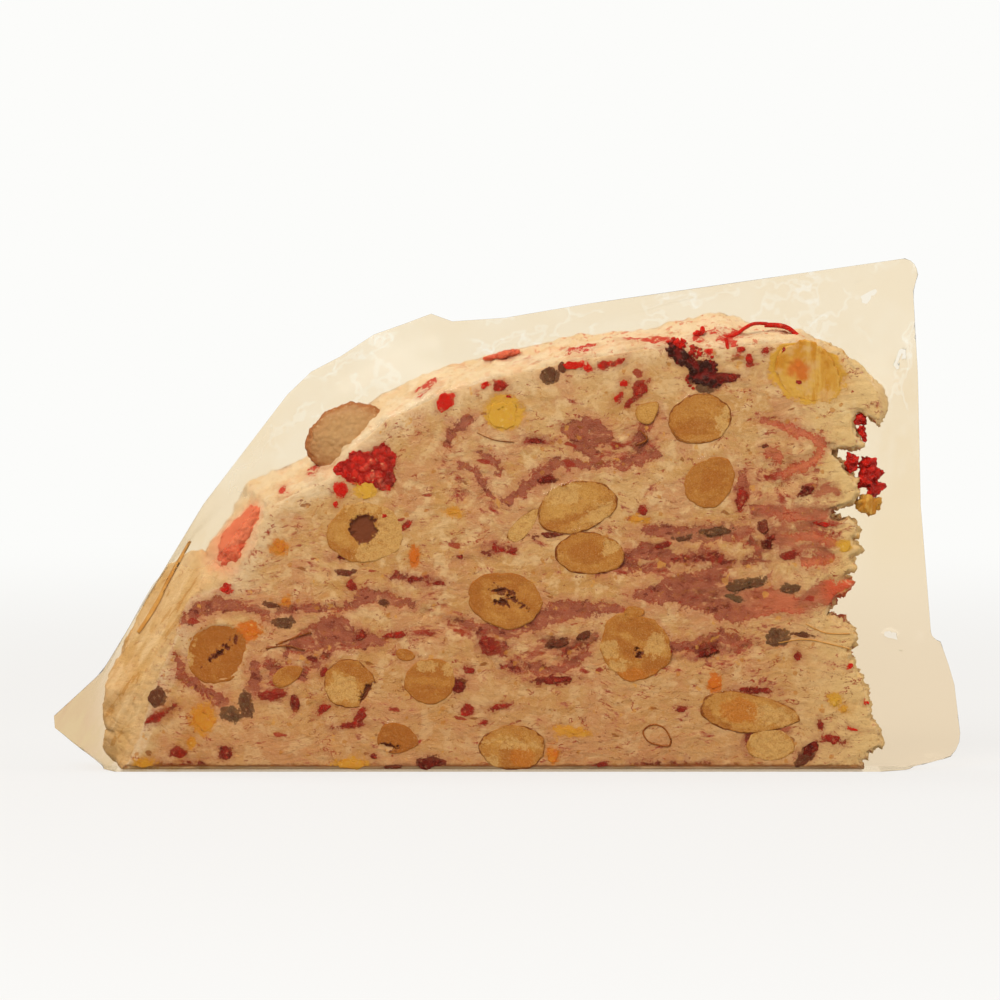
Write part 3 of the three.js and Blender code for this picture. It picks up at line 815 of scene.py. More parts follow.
# %% Where each point of the slab lies
def points_of(mesh):
    """A mesh's points and normals as arrays, the points in millimetres."""
    at = np.empty(len(mesh.vertices) * 3, np.float32)
    up = np.empty(len(mesh.vertices) * 3, np.float32)
    mesh.vertices.foreach_get("co", at)
    mesh.vertex_normals.foreach_get("vector", up)
    return at.reshape(-1, 3).astype(float) / MM, up.reshape(-1, 3).astype(float)


def cloud(points, per_mm, octaves, seed, stretch=(1, 1, 1)):
    """Noise at each point, near -1 to 1."""
    scale = Vector(stretch) * per_mm
    shift = Vector((seed * 17.3, seed * 5.1, seed * 9.7))
    return np.array(
        [
            noise.fractal(Vector((x * scale.x, y * scale.y, z * scale.z)) + shift, 0.55, 2.1, octaves)
            for x, y, z in points
        ]
    )


at, up = points_of(slab_mesh)
on_front = smoothstep(0.75, 0.95, -up[:, 1]) * (at[:, 1] < FRONT + 1.0)
on_back = smoothstep(0.75, 0.95, up[:, 1]) * (at[:, 1] > BACK - 1.0)
on_cut = np.maximum(on_front, on_back)
on_base = (up[:, 2] < -0.7) & (at[:, 2] < 2)
torn = smoothstep(62, 72, at[:, 0]) * (1 - on_cut) * (1 - on_base)
dome = (1 - on_cut) * (1 - torn) * (1 - on_base)

# The front lists serve the front half, and a mirrored copy of the smears the back half.
front_half = at[:, 1] < 0
seen_x = np.where(front_half, at[:, 0], 3 - at[:, 0])
seen_z = at[:, 2]
mauve = beyond_smears(MAUVE, seen_x, seen_z)
wine = beyond_smears(WINE, seen_x, seen_z)
blush = beyond_smears(BLUSH, seen_x, seen_z)
stain = beyond_smears(STAINS, seen_x, seen_z)


def beyond_nuts(nuts, chosen):
    away = np.full(len(at), 50.0)
    for seed, nut in enumerate(nuts):
        away[chosen] = np.minimum(away[chosen], beyond_nut(nut, seed, at[chosen, 0], at[chosen, 2]))
    return away


nut_gap = np.minimum(beyond_nuts(FRONT_NUTS, front_half), beyond_nuts(BACK_NUTS, ~front_half))
print("points on the cuts:", int((on_cut > 0.5).sum()), "torn:", int((torn > 0.5).sum()))

# %% [markdown]
# The relief of the cuts is only pushed inwards, since the film lies flat on them: a groove round
# each nut, smears a little sunken, drag cracks that follow the layers, and pores. The torn end and
# the dome's skin get lumps both ways.

# %% Relief of the slab
BULGE = 6.5  # how far the foot of the dome swells between its two cuts
layers = cloud(at, 0.42, 3, 1, stretch=(0.2, 0.5, 1.0))
pores = cloud(at, 0.75, 3, 2, stretch=(0.7, 1, 1.2))
lumps = cloud(at, 0.11, 3, 3)
crags = cloud(at, 0.34, 4, 4)
nicks = cloud(at, 0.8, 2, 5)
tatters = cloud(at, 0.5, 3, 6, stretch=(1.0, 0.25, 1.0))
front_rind = beyond_smear([(x, z, 0) for x, z in DOME], at[:, 0], at[:, 2])
back_rind = beyond_smear([(*widened(x, z), 0) for x, z in DOME], at[:, 0], at[:, 2])
rind_gap = np.where(front_half, front_rind, back_rind)
in_berry = np.where(front_half, beyond_chips(CUT_BERRIES + CUT_CANDY, at[:, 0], at[:, 2])[0], 50.0)
at_rind = np.clip(1 - rind_gap / 3.4, 0, 1)
rounded = 0.8 * smoothstep(-0.4, -1.4, in_berry) + 1.3 * (1 - np.sqrt(1 - at_rind**2))

low_down = smoothstep(40, 12, at[:, 2])
crack = smoothstep(0.88, 0.99, 1 - np.abs(layers) * 2.2) * smoothstep(0.0, 0.4, pores + 0.1 * low_down)
pit = smoothstep(0.34, 0.66, pores)
groove = np.exp(-((nut_gap / 0.45) ** 2)) * 0.03 + smoothstep(-0.8, -1.7, nut_gap) * 1.4
mashed = smoothstep(1.0, -2.0, blush)
sunk = 0.22 * smoothstep(0.6, -0.6, np.minimum(mauve, wine)) * (0.7 + crags)
torn_mash = mashed * np.clip(0.6 * crags + 0.3 * nicks + 0.1, 0, 0.6)
inward = 0.05 + rounded + 0.2 * crack + 0.22 * pit + groove + np.clip(sunk, 0, 0.5) + torn_mash
inward += 0.16 * np.clip(crags, 0, 1)
swell = np.clip(1 - np.abs(at[:, 1]) / 9.2, 0, 1) * smoothstep(64, 42, at[:, 2])
swell = swell * smoothstep(-48, -62, at[:, 0]) * smoothstep(-6, 18, at[:, 2])
ragged = torn * (0.7 * crags + (0.8 * nicks + 1.1 * tatters - 0.2) * smoothstep(81, 74, at[:, 2]))
shoulder = 1.7 * (1 - np.sqrt(1 - np.clip((np.abs(at[:, 1]) - 6.2) / 2.5, 0, 0.98) ** 2))
dome_lumps = 0.9 * lumps + 0.4 * crags + 0.15 * nicks - 0.2
outward = BULGE * swell + ragged + dome * (dome_lumps - shoulder)
away_from_base = smoothstep(0.0, 3.0, at[:, 2])
on_bevel = np.where(on_cut > 0.5, 1, 0.5)
push = np.where(on_cut > 0.01, -on_cut * inward * on_bevel, 0) + outward * away_from_base
shaped = at + up * push[:, None]
shaped[:, 2] = np.maximum(shaped[:, 2], BASE_Z)
slab_mesh.vertices.foreach_set("co", (shaped * MM).astype(np.float32).ravel())


def carry(mesh, name, values):
    """A number for each point of a mesh, for its material to read."""
    layer = mesh.attributes.new(name, "FLOAT", "POINT")
    layer.data.foreach_set("value", np.asarray(values, np.float32))


cut_skin = smoothstep(0.0, 0.6, on_cut)
marks = {
    "mauve": mauve, "wine": wine, "blush": blush, "nut_gap": nut_gap, "cut": cut_skin,
    "rind_gap": rind_gap, "stain": stain,
    "torn": torn, "crack": on_cut * crack, "pit": on_cut * pit,
}  # fmt: skip
for name, front_chips, back_chips in (
    ("berry", RED_CHIPS + CUT_BERRIES, BACK_RED),
    ("bit", DARK_CHIPS, BACK_DARK),
    ("candy", CANDIED + CUT_CANDY, BACK_CANDIED),
):
    near_front = beyond_chips(front_chips, at[:, 0], at[:, 2])
    near_back = beyond_chips(back_chips, at[:, 0], at[:, 2])
    marks[name + "_gap"] = np.where(front_half, near_front[0], near_back[0]) + 40 * (1 - cut_skin)
    marks[name + "_tone"] = np.where(front_half, near_front[1], near_back[1])
for name, values in marks.items():
    carry(slab_mesh, name, values)
slab_mesh.shade_smooth()
slab_mesh.update()
print("slab: deepest push, mm:", round(float(-push.min()), 2), "furthest out:", round(float(push.max()), 2))

# %% [markdown]
# The nougat's colour is warm cream, drifting to tan and rose. Mauve and wine smears lie over it,
# with edges torn by noise. Fine brown flecks are ground nut, the sunken cracks and pores carry
# painted shade, and the outside of the dome is paler and smoother than the cuts.

# %% Nougat finish
CREAM = seen(202, 157, 105)
PALE = seen(217, 179, 133)
TAN = seen(190, 138, 79)
ROSE = seen(195, 137, 98)
PINK = seen(181, 109, 79)
RIND = seen(224, 197, 163)
FLANK = seen(215, 186, 151)
MAUVE_TONE = seen(158, 88, 66)
MAUVE_DARK = seen(126, 60, 46)
WINE_TONE = seen(150, 48, 34)
WINE_DARK = seen(100, 36, 26)
BROWN = seen(140, 78, 36)
OCHRE = seen(184, 118, 52)
# painted light for the cut near its torn end, used in the paste colour
PAINTED_LIGHT_CREAM = seen(224, 190, 134)
BERRY_BRIGHT = seen(200, 30, 20)
BERRY_DEEP = seen(134, 42, 30)
BERRY_BLACK = seen(66, 20, 14)
BIT_WINE = seen(120, 48, 34)
BIT_BROWN = seen(98, 54, 36)
BIT_GREY = seen(102, 74, 50)
CANDY = (seen(208, 156, 58), seen(202, 136, 50), seen(198, 102, 34))
BERRY = (BERRY_BRIGHT, BERRY_DEEP, BERRY_BLACK)
DARK_FRUIT = (BIT_WINE, BIT_BROWN, BIT_GREY)


def folded(tree, place):
    """The place as it was before the paste was folded: bent by slow noise, then squeezed lengthwise."""
    slow = put(tree, "TexNoise", {"Vector": place, "Scale": 0.08, "Detail": 3.0}).outputs["Color"]
    bent = moved_by(tree, place, slow, 8.0)
    return put(tree, "Mapping", {"Vector": bent, "Scale": (0.45, 0.8, 1.0)}).outputs[0]


def cloudy(tree, place, per_mm, detail=7.0, rough=0.66):
    look = {"Vector": place, "Scale": per_mm, "Detail": detail, "Roughness": rough}
    return put(tree, "TexNoise", look).outputs["Fac"]


def creased(tree, place, per_mm):
    """Slow noise drawn out along the dome's slope, which the film's folds follow."""
    slope = put(tree, "Mapping", {"Vector": place, "Rotation": (0, math.radians(60), 0)}).outputs[0]
    along = put(tree, "Mapping", {"Vector": slope, "Scale": (0.2, 0.4, 1.0)}).outputs[0]
    return cloudy(tree, along, per_mm, 5.0, 0.6)


def torn_mask(tree, place, name, tear, soft, beyond=0.0):
    """Where a smear lies, with an edge torn by noise, and moved inwards by a distance."""
    away = maths(tree, "ADD", attribute(tree, name), beyond)
    return torn_edge(tree, place, away, tear, soft)


def laid_over(tree, base, mask, much, over):
    """A colour laid over another by a mask, and only so much."""
    return blend_colour(tree, times(tree, mask, much), base, over)


def laid_where(tree, base, value, low, high, much, over):
    """A colour laid over another where a value steps from one level to another."""
    return blend_colour(tree, ramp(tree, value, low, high, 0, much), base, over)


def three_tones(tree, place, tone, tones, waver):
    """A colour from three by a tone, stirred by noise."""
    stir = swing(tree, cloudy(tree, place, 0.9, 6.0, 0.7), waver)
    level = maths(tree, "ADD", tone, stir, clamp=True)
    base = blend_colour(tree, ramp(tree, level, 0.0, 0.55), tones[0], tones[1])
    return blend_colour(tree, ramp(tree, level, 0.5, 1.0), base, tones[2])


def rind_tone(tree, spot):
    """The dome's skin, a little darker low down on its flank."""
    return blend_colour(tree, ramp(tree, spot["Z"], 70, 40), RIND, FLANK)


def paste_colour(tree, place, fold):
    """Cream in soft clumps of pale, tan and rose, paler at the rind, with painted shade towards the base.
    """
    cream = drift(tree, fold, 0.12, CREAM, TAN, -0.07)
    cream = laid_where(tree, cream, cloudy(tree, place, 0.09, 5.0), 0.45, 0.6, 0.75, ROSE)
    clump = cloudy(tree, place, 0.24, 5.0, 0.6)
    cream = laid_where(tree, cream, clump, 0.5, 0.6, 0.8, PALE)
    cream = laid_where(tree, cream, clump, 0.42, 0.32, 0.38, PINK)
    crest = cloudy(tree, fold, 0.32, 4.0, 0.5)
    crest = ramp(tree, maths(tree, "ABSOLUTE", maths(tree, "SUBTRACT", crest, 0.52)), 0.022, 0.004)
    cream = laid_over(tree, cream, crest, 0.4, PALE)
    grain = cloudy(tree, place, 1.5, 4.0)
    cream = laid_where(tree, cream, grain, 0.5, 0.66, 0.2, TAN)
    cream = laid_where(tree, cream, grain, 0.5, 0.36, 0.16, PALE)
    spot = axes(tree, place)
    # painted shade: the cut is darkened towards the base, where less of the light from above reaches it
    cream = laid_where(tree, cream, spot["Z"], 42, 0, 0.42, seen(188, 132, 86))
    paler = ramp(tree, spot["Z"], 62, 84, 0.85, 0.42)
    near_rind = torn_mask(tree, place, "rind_gap", 12.0, 7.0)
    cream = laid_over(tree, cream, near_rind, paler, rind_tone(tree, spot))
    # painted light: the cut is paler towards the torn end, as if lit through the thin nougat there
    return laid_where(tree, cream, spot["X"], 56, 80, 0.75, PAINTED_LIGHT_CREAM)


def mash_colours(tree, place, fold, base):
    """Streaked mash where it was folded in, and the smears with their torn, darker edges."""
    streaks = cloudy(tree, fold, 0.4, 8.0, 0.7)
    crowd = ramp(tree, attribute(tree, "blush"), 2.5, -3.0, 0, 0.1)
    level = maths(tree, "ADD", streaks, crowd)
    spot = axes(tree, place)
    calm = times(tree, ramp(tree, spot["X"], 2, -14), ramp(tree, spot["Z"], 54, 66))
    level = maths(tree, "MULTIPLY_ADD", calm, -0.03, level)
    base = laid_where(tree, base, level, 0.575, 0.635, 0.65, PINK)
    base = laid_where(tree, base, level, 0.635, 0.643, 0.9, MAUVE_TONE)
    base = laid_where(tree, base, level, 0.672, 0.68, 0.95, WINE_TONE)

    veins = cloudy(tree, fold, 0.7, 6.0, 0.66)
    fill = drift(tree, place, 0.5, MAUVE_TONE, MAUVE_DARK, -0.1)
    fill = laid_where(tree, fill, veins, 0.42, 0.36, 0.85, ROSE)
    fill = laid_where(tree, fill, veins, 0.59, 0.62, 0.85, WINE_DARK)
    specks = flecks(tree, place, 1.3, 0.12, 0.2)
    fill = laid_over(tree, fill, specks, 0.5, PALE)
    border = blend_colour(tree, ramp(tree, veins, 0.45, 0.55), WINE_TONE, MAUVE_DARK)
    fresh = ramp(tree, spot["X"], 46, 66, 0, 0.8)
    fill = blend_colour(tree, fresh, fill, seen(204, 113, 79))
    border = blend_colour(tree, fresh, border, seen(184, 62, 40))
    base = laid_over(tree, base, torn_mask(tree, place, "mauve", 9.0, 2.4), 0.5, PINK)
    base = laid_over(tree, base, torn_mask(tree, place, "mauve", 7.0, 0.12), 0.9, border)
    base = laid_over(tree, base, torn_mask(tree, place, "mauve", 7.0, 0.3, 0.45), 0.97, fill)

    deep = drift(tree, place, 0.9, WINE_TONE, WINE_DARK, 0.06)
    deep = laid_where(tree, deep, veins, 0.46, 0.4, 0.85, MAUVE_TONE)
    red_end = away_from(tree, place, (75.4, -8.7, 41.4))
    deep = blend_colour(tree, fresh, deep, PINK)
    deep = blend_colour(tree, ramp(tree, red_end, 8.0, 3.0), deep, seen(202, 84, 56))
    base = laid_over(tree, base, torn_mask(tree, place, "wine", 8.0, 2.0), 0.5, MAUVE_TONE)
    return laid_over(tree, base, torn_mask(tree, place, "wine", 7.0, 0.12), 0.97, deep)


def broken_edges(tree, place, base):
    """The crumbs that each chip of fruit has left round itself."""
    for name, tones, halo, tear, soft in (
        ("berry", BERRY, MAUVE_TONE, 4.0, 0.1),
        ("bit", DARK_FRUIT, ROSE, 3.5, 0.1),
        ("candy", CANDY, OCHRE, 5.0, 0.7),
    ):
        own = three_tones(tree, place, attribute(tree, name + "_tone"), tones, 1.3)
        base = laid_over(tree, base, torn_mask(tree, place, name + "_gap", tear, 1.4), 0.4, halo)
        base = laid_over(tree, base, torn_mask(tree, place, name + "_gap", tear, soft), 0.92, own)
    return base


def thin_lines(tree, place, per_mm, thin, seed_z, often):
    """Short broken lines: a noise's middle level, shown only in patches."""
    moved = put(tree, "VectorMath", {0: place, 1: (0, 0, seed_z)}, operation="ADD").outputs[0]
    wave = cloudy(tree, moved, per_mm, 4.0, 0.62)
    line = ramp(tree, maths(tree, "ABSOLUTE", maths(tree, "SUBTRACT", wave, 0.5)), thin, thin * 0.3)
    patch = cloudy(tree, moved, per_mm * 1.4, 3.0, 0.5)
    return times(tree, line, ramp(tree, patch, often, often + 0.08))


def small_marks(tree, place, fold, base):
    """Crumbs of berry, nut dust, red and ochre lines, brown drag marks low down, painted shade at the base.
    """
    lines = thin_lines(tree, place, 0.35, 0.012, 3.0, 0.56)
    base = laid_over(tree, base, lines, 0.75, OCHRE)
    red = thin_lines(tree, fold, 0.42, 0.022, 21.0, 0.55)
    base = laid_over(tree, base, red, 0.9, WINE_TONE)
    dashes = thin_lines(tree, fold, 0.8, 0.032, 33.0, 0.6)
    base = laid_over(tree, base, dashes, 0.85, seen(132, 58, 34))
    drags = thin_lines(tree, fold, 0.6, 0.016, 9.0, 0.56)
    height = axes(tree, place)["Z"]
    drags = times(tree, drags, ramp(tree, height, 60, 14, 0.25, 0.85))
    base = blend_colour(tree, drags, base, BROWN)
    crumbs = ramp(tree, cloudy(tree, place, 0.8, 7.0, 0.7), 0.685, 0.695)
    base = laid_over(tree, base, crumbs, 0.9, WINE_TONE)
    soft_spots = ramp(tree, cloudy(tree, place, 0.34, 4.0, 0.5), 0.66, 0.7)
    base = laid_over(tree, base, soft_spots, 0.7, seen(206, 146, 72))
    for spread, per_mm, share, radius, much, tone in (
        (place, 0.5, 0.16, 0.22, 0.7, OCHRE),
        (fold, 0.6, 0.08, 0.24, 0.8, BROWN),
        (fold, 0.34, 0.14, 0.2, 0.9, WINE_TONE),
    ):
        dots = flecks(tree, spread, per_mm, share, radius)
        base = laid_over(tree, base, dots, much, tone)
    # painted shade: a brown band along the base, where the slab curves under onto the floor
    stray = cloudy(tree, place, 0.3, 4.0)
    painted_base_shade = ramp(tree, maths(tree, "MULTIPLY_ADD", stray, 2.0, height), 3.0, 2.4, 0, 0.85)
    return blend_colour(tree, painted_base_shade, base, seen(134, 78, 40))


def rind_colour(tree, place):
    """The dome's skin: pale, blushed, darker and yellower at its foot with painted fold shade and
    highlights, and stained by fruit.
    """
    spot = axes(tree, place)
    rind = rind_tone(tree, spot)
    rind = laid_where(tree, rind, cloudy(tree, place, 0.16), 0.42, 0.6, 0.6, PALE)
    rind = laid_where(tree, rind, cloudy(tree, place, 0.14, 6.0), 0.52, 0.62, 0.3, seen(222, 158, 118))
    foot = times(tree, ramp(tree, spot["X"], -58, -70), ramp(tree, spot["Z"], 54, 40))
    rind = laid_over(tree, rind, foot, 0.7, seen(208, 166, 112))
    # painted shade and painted highlights of the film's folds on the dome's foot: dark and pale lines along
    # the slope
    painted_fold_light = creased(tree, place, 0.5)
    rind = laid_over(tree, rind, ramp(tree, painted_fold_light, 0.56, 0.6, 0, 0.55), foot, seen(186, 130, 62))
    rind = laid_over(tree, rind, ramp(tree, painted_fold_light, 0.45, 0.38, 0, 0.5), foot, seen(226, 194, 150))
    for middle, wide, narrow in (((-61, -3, 50), 13, 4), ((-57.6, -3, 57), 9, 4), ((-62.5, -4, 44), 9, 4)):
        away = away_from(tree, place, middle)
        away = maths(tree, "MULTIPLY_ADD", cloudy(tree, place, 0.3), 6.0, away)
        rind = blend_colour(tree, ramp(tree, away, wide, narrow, 0, 0.6), rind, seen(222, 128, 96))
    blotches = ramp(tree, cloudy(tree, place, 0.55, 7.0), 0.575, 0.61)
    high = times(tree, ramp(tree, spot["Z"], 84, 96), blotches)
    rind = laid_over(tree, rind, high, 0.7, seen(196, 84, 56))
    rind = laid_over(tree, rind, torn_mask(tree, place, "stain", 7.0, 2.2), 0.35, PINK)
    return laid_over(tree, rind, torn_mask(tree, place, "stain", 7.0, 0.2), 0.9, seen(186, 34, 24))


def nougat_finish():
    made, tree, shader, _, place = begin("soft_nougat")
    fold = folded(tree, place)
    cut = mash_colours(tree, place, fold, paste_colour(tree, place, fold))
    rind = rind_colour(tree, place)
    rind = blend_colour(tree, 0.35, rind, small_marks(tree, place, fold, rind))
    cut = broken_edges(tree, place, small_marks(tree, place, fold, cut))
    broken = maths(tree, "MAXIMUM", attribute(tree, "cut"), attribute(tree, "torn"))
    base = blend_colour(tree, broken, rind, cut)
    # painted shade: the cracks and pores, which are sunk into the mesh, are darkened with ochre
    sunk = maths(tree, "MAXIMUM", attribute(tree, "crack"), times(tree, attribute(tree, "pit"), 0.5))
    base = laid_over(tree, base, sunk, 0.3, OCHRE)
    dress(tree, shader, base, 0.7, 0.1)
    fine = crumb(tree, place, 0.9, 0.24)
    clumps = crumb(tree, fold, 0.42, 0.8)
    roughen(tree, shader, maths(tree, "ADD", fine, clumps), 0.85)
    return made


slab_mesh.materials.clear()
slab_mesh.materials.append(nougat_finish())
print("slab:", len(slab_mesh.polygons), "faces")

# %% [markdown]
# ## Cut nuts
#
# A nut that the knife met shows a flat disc in the cut, and the rest of it is buried. A ball can
# become that: its front half is pressed flat into the disc, ring by ring, and its back half stays
# round. The disc gets the nut's own outline, a rounded rim, a hollow where the kernel is open, and
# numbers for its material: how near the rim a point is, how roasted the nut, how much skin it kept.

# %% Nut maker
NUT_PROUD = 0.1  # how far a nut's disc stands out of the nougat
NUT_RIM = 0.12
MARKS = ("pit", "pale", "deep", "orange")


def inside_mark(mark, dx, dz):
    """How far a point lies inside a mark's ellipse, in millimetres, less than 0 outside it."""
    _, mx, mz, half, height, turn = mark
    along, across = along_axes(dx - mx, dz - mz, turn)
    return (1 - math.hypot(along / half, across / height)) * min(half, height)


ROUND_BALL = ball_mesh("round_ball", bmesh.ops.create_uvsphere, u_segments=88, v_segments=64)
SMALL_ROUND_BALL = ball_mesh("small_round_ball", bmesh.ops.create_uvsphere, u_segments=40, v_segments=28)


def add_cut_nut(bm, nut, seed, side):
    """One nut, cut by the front (side -1) or the back (side 1), added to a bmesh."""
    verts = copied(bm, ROUND_BALL if nut.half > 4 else SMALL_ROUND_BALL)
    layer = {name: bm.verts.layers.float[name] for name in ("rim", "tone", "skin", *MARKS)}
    for vert in verts:
        over = math.acos(max(-1, min(1, vert.co.z)))
        angle = math.atan2(vert.co.y, vert.co.x)
        disc = over <= math.pi / 2 + 1e-4
        reach = over / (math.pi / 2) if disc else math.sin(over)
        stray = float(wobble(angle, ROUGH_OF[nut.kind], seed))
        u, v = reach * stray * math.cos(angle), reach * stray * math.sin(angle)
        v *= 1 - nut.taper * max(-1, min(1.2, u))
        dx, dz = turned(u * nut.half, v * nut.height, nut.turn)
        inside = {kind: -3.0 for kind in MARKS}
        for mark in nut.marks:
            inside[mark[0]] = max(inside[mark[0]], inside_mark(mark, dx, dz))
        inside["pit"] += 0.7 * noise.fractal(Vector((dx, seed, dz)) * 0.8, 0.5, 2.0, 4)
        open_here = max(0.0, min(1.0, inside["pit"] * 2.5))
        if disc:
            relief = 0.12 * noise.fractal(Vector((dx * 0.5, seed * 7.7, dz * 0.5)), 0.6, 2.0, 3)
            depth = relief + NUT_RIM * max(0.0, (reach - 0.93) / 0.07) ** 2 + 0.9 * open_here
            depth += 0.1 * max(0.0, min(1.0, inside["pale"] * 2))
            out = -NUT_PROUD + max(depth, 0.0)
        else:
            out = -NUT_PROUD + NUT_RIM - math.cos(over) * 0.62 * (nut.half + nut.height) / 2
        surface = FRONT if side < 0 else BACK
        vert.co = (nut.x + dx, surface - side * out, max(nut.z + dz, BASE_Z + 0.1))
        vert[layer["rim"]] = reach if disc else 1.2
        vert[layer["tone"]] = nut.tone
        degrees = math.degrees(math.atan2(dz, dx)) % 360
        thick = bool(nut.bark) and nut.bark[0] < degrees < nut.bark[1]
        vert[layer["skin"]] = 2.4 if thick else nut.skin
        for kind in MARKS:
            vert[layer[kind]] = inside[kind]


def nut_object(name, kinds):
    """All the cut nuts of some kinds, as one object."""
    bm = bmesh.new()
    for label in ("rim", "tone", "skin", *MARKS):
        bm.verts.layers.float.new(label)
    count = 0
    for side, nuts in ((-1, FRONT_NUTS), (1, BACK_NUTS)):
        for seed, nut in enumerate(nuts):
            if nut.kind in kinds:
                add_cut_nut(bm, nut, seed, side)
                count += 1
    bmesh.ops.recalc_face_normals(bm, faces=bm.faces)
    made = mesh_object(name, bm)
    print(name, "holds", count, "and has", len(made.data.polygons), "faces")
    return made


hazelnuts = nut_object("hazelnuts", {"hazel"})
almonds = nut_object("almonds", {"almond"})
walnut = nut_object("walnuts", {"walnut"})

# %% [markdown]
# A kernel is ochre, not one colour: it is waxy and lets light in, so it drifts from pale to amber,
# is a little darker towards its rim, and where its skin stayed on has a thin, broken brown line.
# Its open hollow is a dark purple brown, because mash has run into it.

# %% Nut finish
KERNEL_PALE = seen(198, 147, 78)
KERNEL_GOLD = seen(184, 124, 58)
KERNEL_DEEP = seen(162, 94, 36)
CRUMBLY = seen(206, 162, 100)
AMBER = seen(188, 104, 30)
SKIN = seen(116, 56, 20)
HOLLOW = seen(112, 54, 34)


def nut_finish(name, patchy):
    made, tree, shader, _, place = begin(name)
    rim = attribute(tree, "rim")
    level = maths(tree, "ADD", attribute(tree, "tone"), swing(tree, cloudy(tree, place, 0.3), patchy))
    base = blend_colour(tree, ramp(tree, level, 0.1, 0.55), KERNEL_PALE, KERNEL_GOLD)
    base = blend_colour(tree, ramp(tree, level, 0.5, 1.1), base, KERNEL_DEEP)
    base = laid_where(tree, base, level, 1.1, 1.8, 0.7, SKIN)
    base = laid_where(tree, base, rim, 0.62, 1.0, 0.4, KERNEL_DEEP)

    def marked(kind, tear, soft):
        outside = times(tree, attribute(tree, kind), -1.0)
        return torn_edge(tree, place, outside, tear, soft)

    base = laid_over(tree, base, marked("deep", 6.0, 1.2), 0.75, KERNEL_DEEP)
    base = laid_over(tree, base, marked("orange", 5.0, 0.9), 0.7, AMBER)
    base = laid_over(tree, base, marked("pale", 10.0, 0.35), 0.8, CRUMBLY)
    broken = cloudy(tree, place, 0.9, 8.0, 0.72)
    base = laid_where(tree, base, broken, 0.5, 0.64, 0.4, KERNEL_DEEP)
    base = laid_where(tree, base, broken, 0.45, 0.34, 0.3, CRUMBLY)
    grain = cloudy(tree, place, 3.2, 3.0)
    base = laid_where(tree, base, grain, 0.5, 0.62, 0.4, KERNEL_DEEP)
    base = laid_where(tree, base, grain, 0.46, 0.36, 0.3, CRUMBLY)
    chinks = thin_lines(tree, place, 0.45, 0.012, 5.0, 0.5)
    base = laid_over(tree, base, chinks, 0.6, seen(132, 70, 28))
    base = laid_over(tree, base, marked("pit", 4.0, 0.2), 0.95, HOLLOW)

    edge = maths(tree, "ADD", rim, swing(tree, cloudy(tree, place, 0.7, 5.0, 0.6), 0.22))
    skin = attribute(tree, "skin")
    width = maths(tree, "MULTIPLY_ADD", skin, -0.03, 0.99)
    peel = ramp(tree, maths(tree, "SUBTRACT", edge, width), -0.02, 0.01)
    peel = times(tree, peel, maths(tree, "MINIMUM", skin, 1.0))
    peel = times(tree, peel, ramp(tree, cloudy(tree, place, 0.25, 4.0), 0.42, 0.56, 0.2, 0.95))
    base = blend_colour(tree, peel, base, SKIN)
    dress(tree, shader, base, 0.6, 0.12)
    fine = crumb(tree, place, 1.2, 0.3)
    roughen(tree, shader, fine, 0.9)
    return made


for piece, patchy in ((hazelnuts, 1.6), (almonds, 1.3), (walnut, 2.4)):
    piece.data.materials.append(nut_finish(piece.name + "_kernel", patchy))

# %% [markdown]
# ## Skins and curls
#
# Strips of brown skin have come off some nuts, and a red fruit skin curls over the top of the dome.
# Each is a thin ribbon that stands on edge in the nougat: a strip of faces laid along a smooth
# line, then given its thickness.

# %% Ribbons
def smooth_line(corners, steps):
    """Points along a smooth curve through the given ones, evenly between each two."""
    padded = [corners[0], *corners, corners[-1]]
    line = []
    for before, a, b, after in zip(padded, padded[1:], padded[2:], padded[3:]):
        for step in range(steps):
            t = step / steps
            spot = []
            for p, q, r, s in zip(before, a, b, after):
                bend, twist = 2 * p - 5 * q + 4 * r - s, 3 * q - p - 3 * r + s
                spot.append(0.5 * (2 * q + (r - p) * t + bend * t**2 + twist * t**3))
            line.append(tuple(spot))
    return [*line, tuple(corners[-1])]


def add_ribbon(bm, corners, thick, deep, near, lean=0.25):
    """A strip on edge along (x, z) corners, from a depth near the cut to one further in."""
    line = smooth_line(corners, 6)
    grid = bmesh.ops.create_grid(bm, x_segments=len(line) - 1, y_segments=3, size=1)["verts"]
    for vert in grid:
        along = min(len(line) - 1, round((vert.co.x + 1) / 2 * (len(line) - 1)))
        inward = (vert.co.y + 1) / 2
        x, z = line[along]
        taper = math.sin(math.pi * min(1, (along + 0.6) / len(line)))
        inner = deep * inward * (0.4 + 0.6 * taper)
        vert.co = (x + lean * inner, inner - near, z - lean * inner)
    faces = list({f for v in grid for f in v.link_faces})
    bmesh.ops.recalc_face_normals(bm, faces=faces)
    bmesh.ops.solidify(bm, geom=faces, thickness=thick)


